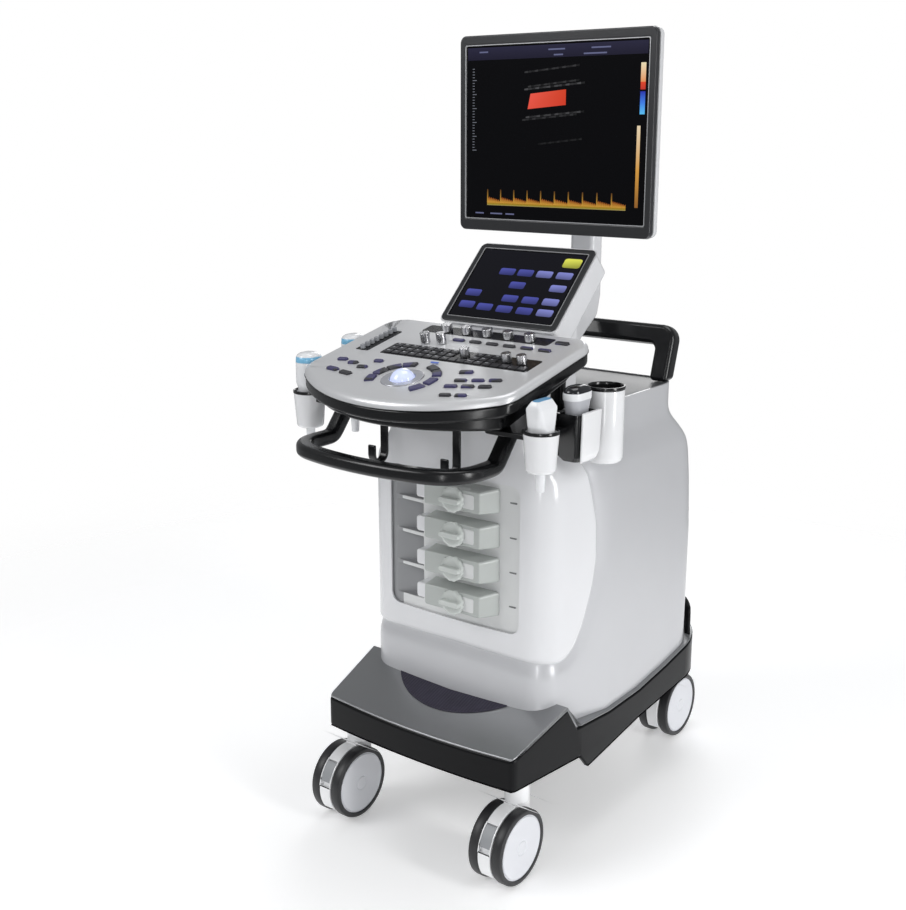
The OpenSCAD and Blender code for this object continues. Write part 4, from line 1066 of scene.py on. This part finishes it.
gel_foot = (right_x, gel_y, right_low.z)
fitted("gel_cup_shell", turned(GEL_CUP, gel_foot, UP, 96), cup_white, "trolley", ("probe_holder_right",),
       smooth=30)
fitted("gel_cup_liner", turned(GEL_LINER, gel_foot, UP, 96), liner_dark, "trolley", smooth=30)
fitted("gel_cup_rim", turned(GEL_RIM, gel_foot, UP, 96, True), rim_black, "trolley", smooth=50)


def lofted(x, y, sections, count=12):
    """Upright form through rounded rectangles. Each has a base height, and then in millimetres a rise
    over it, a width, a depth and a corner."""
    rings = []
    for base, rise, width, depth, radius in sections:
        outline = rounded(width, depth, radius, count)
        rings.append([(x + px * MM, y + py * MM, base + rise * MM) for px, py in outline])
    return skin(rings)


sleeve = [(CUP_LOW, 0, 30, 40, 9), (CUP_LOW, 8, 40, 52, 8), (CUP_TOP, 2, 45, 58, 8), (CUP_TOP, 12, 44, 57, 8),
          (CUP_TOP, 10, 36, 48, 8), (CUP_LOW, 12, 33, 44, 8)]
fitted("square_holder_sleeve", lofted(square.x, square.y, sleeve), rim_black, "trolley", smooth=35)
shield = []
for base, rise, out, half in ((CUP_LOW, -1, 17, 15), (CUP_LOW, 3, 21, 20), (CUP_LOW, 14, 24, 24.5),
                              (CUP_TOP, 13, 26, 25.5), (CUP_TOP, 15, 25.6, 25)):
    shield.append([(square.x + (out + px) * MM, square.y + py * MM, base + rise * MM)
                   for px, py in rounded(5, 2 * half, 2.4, 6)])
fitted("square_holder_shield", skin(shield), cup_white, "trolley", smooth=50)


# ---- Probes ----
# Hand-held transducers of white plastic: each has a grip that drops into its cup, a wider head with a
# tinted lens and a sleeve where its cable would leave, under the cup.
probe_white = moulded("probe_white", "probe_plastic", (0.82, 0.83, 0.85), 0.22, coat=(0.4, 0.1))
lens_blue = moulded("lens_blue", "probe_plastic", (0.1, 0.3, 0.52), 0.3)
band_blue = moulded("band_blue", "probe_plastic", (0.2, 0.5, 0.74), 0.28, coat_weight=0.3)
convex_grey = moulded("convex_grey", "convex_plastic", (0.5, 0.51, 0.545), 0.25, coat=(0.4, 0.1))
lens_black = moulded("lens_black", "convex_plastic", (0.01, 0.011, 0.014), 0.18, coat_weight=0.3)


def tail(name, low, x, y, body):
    profile = in_mm([(0, 0.3), (0, 5.4), (1, 6.2), (20, 7.2), (34, 7.4), (34, 0.3)])
    fitted(name, turned(profile, (x, y, low), UP, 40), probe_white, body, smooth=35)


linear_low, linear_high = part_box("probe_linear")
top = linear_high.z
linear = [(CUP_LOW, 4, 24, 24, 11.9), (CUP_LOW, 20, 36, 36, 17), (CUP_TOP, 4, 38, 38, 18),
          (CUP_TOP, 9, 31, 43, 12), (top, -16, 29, 46, 7), (top, -12, 28, 46, 6), (top, -3, 15, 40, 4),
          (top, -1.5, 13, 38, 3.5)]
fitted("linear_probe_body", lofted(right_x, front_y, linear), probe_white, "probe_linear", ("probe_linear",),
       smooth=30)
lens = [(top, -3, 10, 35, 3), (top, -1, 10, 35, 3), (top, -0.2, 8.4, 33.4, 3)]
fitted("linear_probe_lens", lofted(right_x, front_y, lens), lens_blue, "probe_linear", smooth=30)
tail("linear_probe_tail", linear_low.z, right_x, front_y, "probe_linear")

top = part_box("probe_convex")[1].z
convex = [(CUP_LOW, 5, 24, 34, 9), (CUP_TOP, 0, 26, 38, 10), (CUP_TOP, 14, 26, 40, 11),
          (top, -26, 28, 47, 13.5), (top, -20, 30, 51, 14.5), (top, -11, 30, 51.5, 14.8),
          (top, -10, 28.5, 50, 14)]
fitted("convex_probe_body", lofted(square.x, square.y, convex, 16), convex_grey, "probe_convex",
       ("probe_convex",), smooth=35)
collar = [(top, -21, 30.6, 51.6, 15), (top, -20, 31.4, 52.4, 15.4), (top, -11.5, 31.4, 52.4, 15.4),
          (top, -10.5, 30.6, 51.6, 15)]
fitted("convex_probe_collar", lofted(square.x, square.y, collar, 16), probe_white, "probe_convex", smooth=50)
membrane = [(top, -11, 29, 50.6, 14.4), (top, -8.6, 28.8, 50.2, 14.3), (top, -5, 26.6, 46, 13.2),
            (top, -2.2, 21.5, 36, 10.6), (top, -0.6, 14, 22, 6.9), (top, -0.1, 5, 8, 2.4)]
fitted("convex_probe_membrane", lofted(square.x, square.y, membrane, 16), lens_black, "probe_convex",
       smooth=60)

for place in ("front", "rear"):
    node = f"probe_left_{place}"
    low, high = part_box(node)
    y, top = (low.y + high.y) / 2, high.z
    body = [(CUP_LOW, 4, 24, 24, 11.9), (CUP_LOW, 20, 36, 36, 17), (CUP_TOP, 6, 37, 38, 18),
            (CUP_TOP, 14, 38, 44, 18), (top, -17, 38, 44, 18), (top, -16, 37, 43, 17.5)]
    fitted(f"left_{place}_probe_body", lofted(left_x, y, body), probe_white, node, (node,), smooth=45)
    band = [(top, -17, 37.4, 43.4, 17.8), (top, -16.4, 38, 44, 18), (top, -8, 36.6, 42.6, 17.4),
            (top, -7.4, 35.4, 41.4, 17)]
    fitted(f"left_{place}_probe_band", lofted(left_x, y, band), band_blue, node, smooth=45)
    cap = [(top, -8, 36, 42, 17.2), (top, -5, 33.5, 39.5, 16), (top, -2, 26, 31, 12.5),
           (top, -0.6, 16, 20, 7.8), (top, -0.1, 5, 6, 2.4)]
    fitted(f"left_{place}_probe_cap", lofted(left_x, y, cap), probe_white, node, smooth=60)
    tail(f"left_{place}_probe_tail", low.z, left_x, y, node)


# ---- Monitor ----
# A white post rises behind the touch panel to a swivel collar. The display hangs on a tilting yoke: a
# silver-white back shell, a dark front frame and the screen, with a scan and its trace.
back_white = moulded("back_white", "white_plastic", (0.72, 0.725, 0.74), 0.26, metallic=0.1, coat=(0.4, 0.1))
softened("monitor_post", cover_white, 9 * MM, 5)
softened("monitor_yoke", back_white, 1.6 * MM)
softened("monitor_back", back_white, 5 * MM, 4)
softened("monitor_bezel", frame_grey, 2 * MM, 4)
softened("monitor_screen", screen_glass, 0.3 * MM, 1)

display_low, display_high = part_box("monitor_screen")
display_w, display_h = display_high.x - display_low.x, display_high.z - display_low.z
scan = Picture((display_low.x, display_low.y - 0.1 * MM, display_low.z), (display_w, 0, 0), (0, 0, display_h),
               (0, -0.3 * MM, 0))
AMBER, RED = (0.62, 0.3, 0.05), (0.72, 0.06, 0.02)
scan.bar(0.012, 0.915, 0.988, 0.985, (0.007, 0.006, 0.02), (0.016, 0.015, 0.04))
for u, v, width in ((0.08, 0.955, 0.05), (0.47, 0.955, 0.09), (0.7, 0.955, 0.1), (0.5, 0.925, 0.05),
                    (0.66, 0.925, 0.12), (0.06, 0.03, 0.05), (0.15, 0.03, 0.07), (0.24, 0.03, 0.05)):
    scan.bar(u, v, u + width, v + 0.008, (0.12, 0.13, 0.24))
for i in range(30):
    scan.bar(0.04, 0.4 + 0.016 * i, 0.052 + 0.012 * (i % 5 == 0), 0.404 + 0.016 * i, (0.16, 0.17, 0.2))
for low, high, one, other in ((0.77, 0.87, (0.75, 0.28, 0.1), (0.8, 0.7, 0.45)),
                              (0.73, 0.77, (0.5, 0.03, 0.02), RED),
                              (0.66, 0.72, (0.05, 0.2, 0.75), (0.02, 0.03, 0.4)),
                              (0.6, 0.66, (0.1, 0.5, 0.85), (0.05, 0.2, 0.75))):
    scan.bar(0.955, low, 0.98, high, one, other)
for low, high, one, other in ((0.1, 0.3, (0.25, 0.1, 0.02), AMBER), (0.3, 0.54, AMBER, (0.75, 0.62, 0.42))):
    scan.bar(0.945, low, 0.962, high, one, other)
# The scanned tissue: faint vessel walls, with the flow between them in red
for u, v, width, tone in ((0.34, 0.755, 0.33, 0.06), (0.36, 0.77, 0.28, 0.03), (0.35, 0.6, 0.32, 0.05),
                          (0.33, 0.585, 0.3, 0.025), (0.34, 0.85, 0.3, 0.03), (0.42, 0.45, 0.24, 0.012)):
    for i in range(16):
        a, b = u + width * i / 16, u + width * (i + 1) / 16
        lift = 0.03 * (i / 16 - 0.5)
        glow = tone * (0.55 + 0.45 * sin(i * 2.3 + u * 40))
        scan.patch([(a, v + lift), (b, v + lift), (b, v + lift + 0.012), (a, v + lift + 0.008)],
                   (glow, glow, glow * 1.06))
scan.patch([(0.36, 0.635), (0.57, 0.655), (0.57, 0.74), (0.375, 0.72)],
           [(0.75, 0.08, 0.05), (0.6, 0.04, 0.015), (0.62, 0.05, 0.015), (0.8, 0.09, 0.06)])
# The flow's spectrum along the bottom: one thin peak and a slow fall for each heartbeat
BEATS, STEPS = 10, 24
TRACE_LEFT, TRACE_W, TRACE_LOW = 0.13, 0.77, 0.085
for i in range(BEATS * STEPS):
    phase = i % STEPS / STEPS
    peak = phase < 0.05
    height = 0.09 if peak else 0.045 - 0.02 * phase + 0.004 * sin(i * 1.9)
    a, b = [TRACE_LEFT + TRACE_W * at / (BEATS * STEPS) for at in (i, i + 0.9)]
    scan.bar(a, TRACE_LOW, b, TRACE_LOW + 0.012, (0.3, 0.26, 0.02), (0.42, 0.2, 0.02))
    scan.bar(a, TRACE_LOW + 0.012, b, TRACE_LOW + height, (0.6, 0.32, 0.04),
             (0.1, 0.04, 0.01) if peak else (0.3, 0.07, 0.01))
scan.bar(TRACE_LEFT, 0.082, TRACE_LEFT + TRACE_W, TRACE_LOW, (0.35, 0.28, 0.1))
scan.show("monitor_scan", lit, "monitor")
edging("monitor_edging", (display_low.x, display_low.y, display_low.z), (display_w, 0, 0), (0, 0, display_h),
       (0, -2.4 * MM, 0), 0.2 * MM, 1.4 * MM, rim_bright, "monitor")
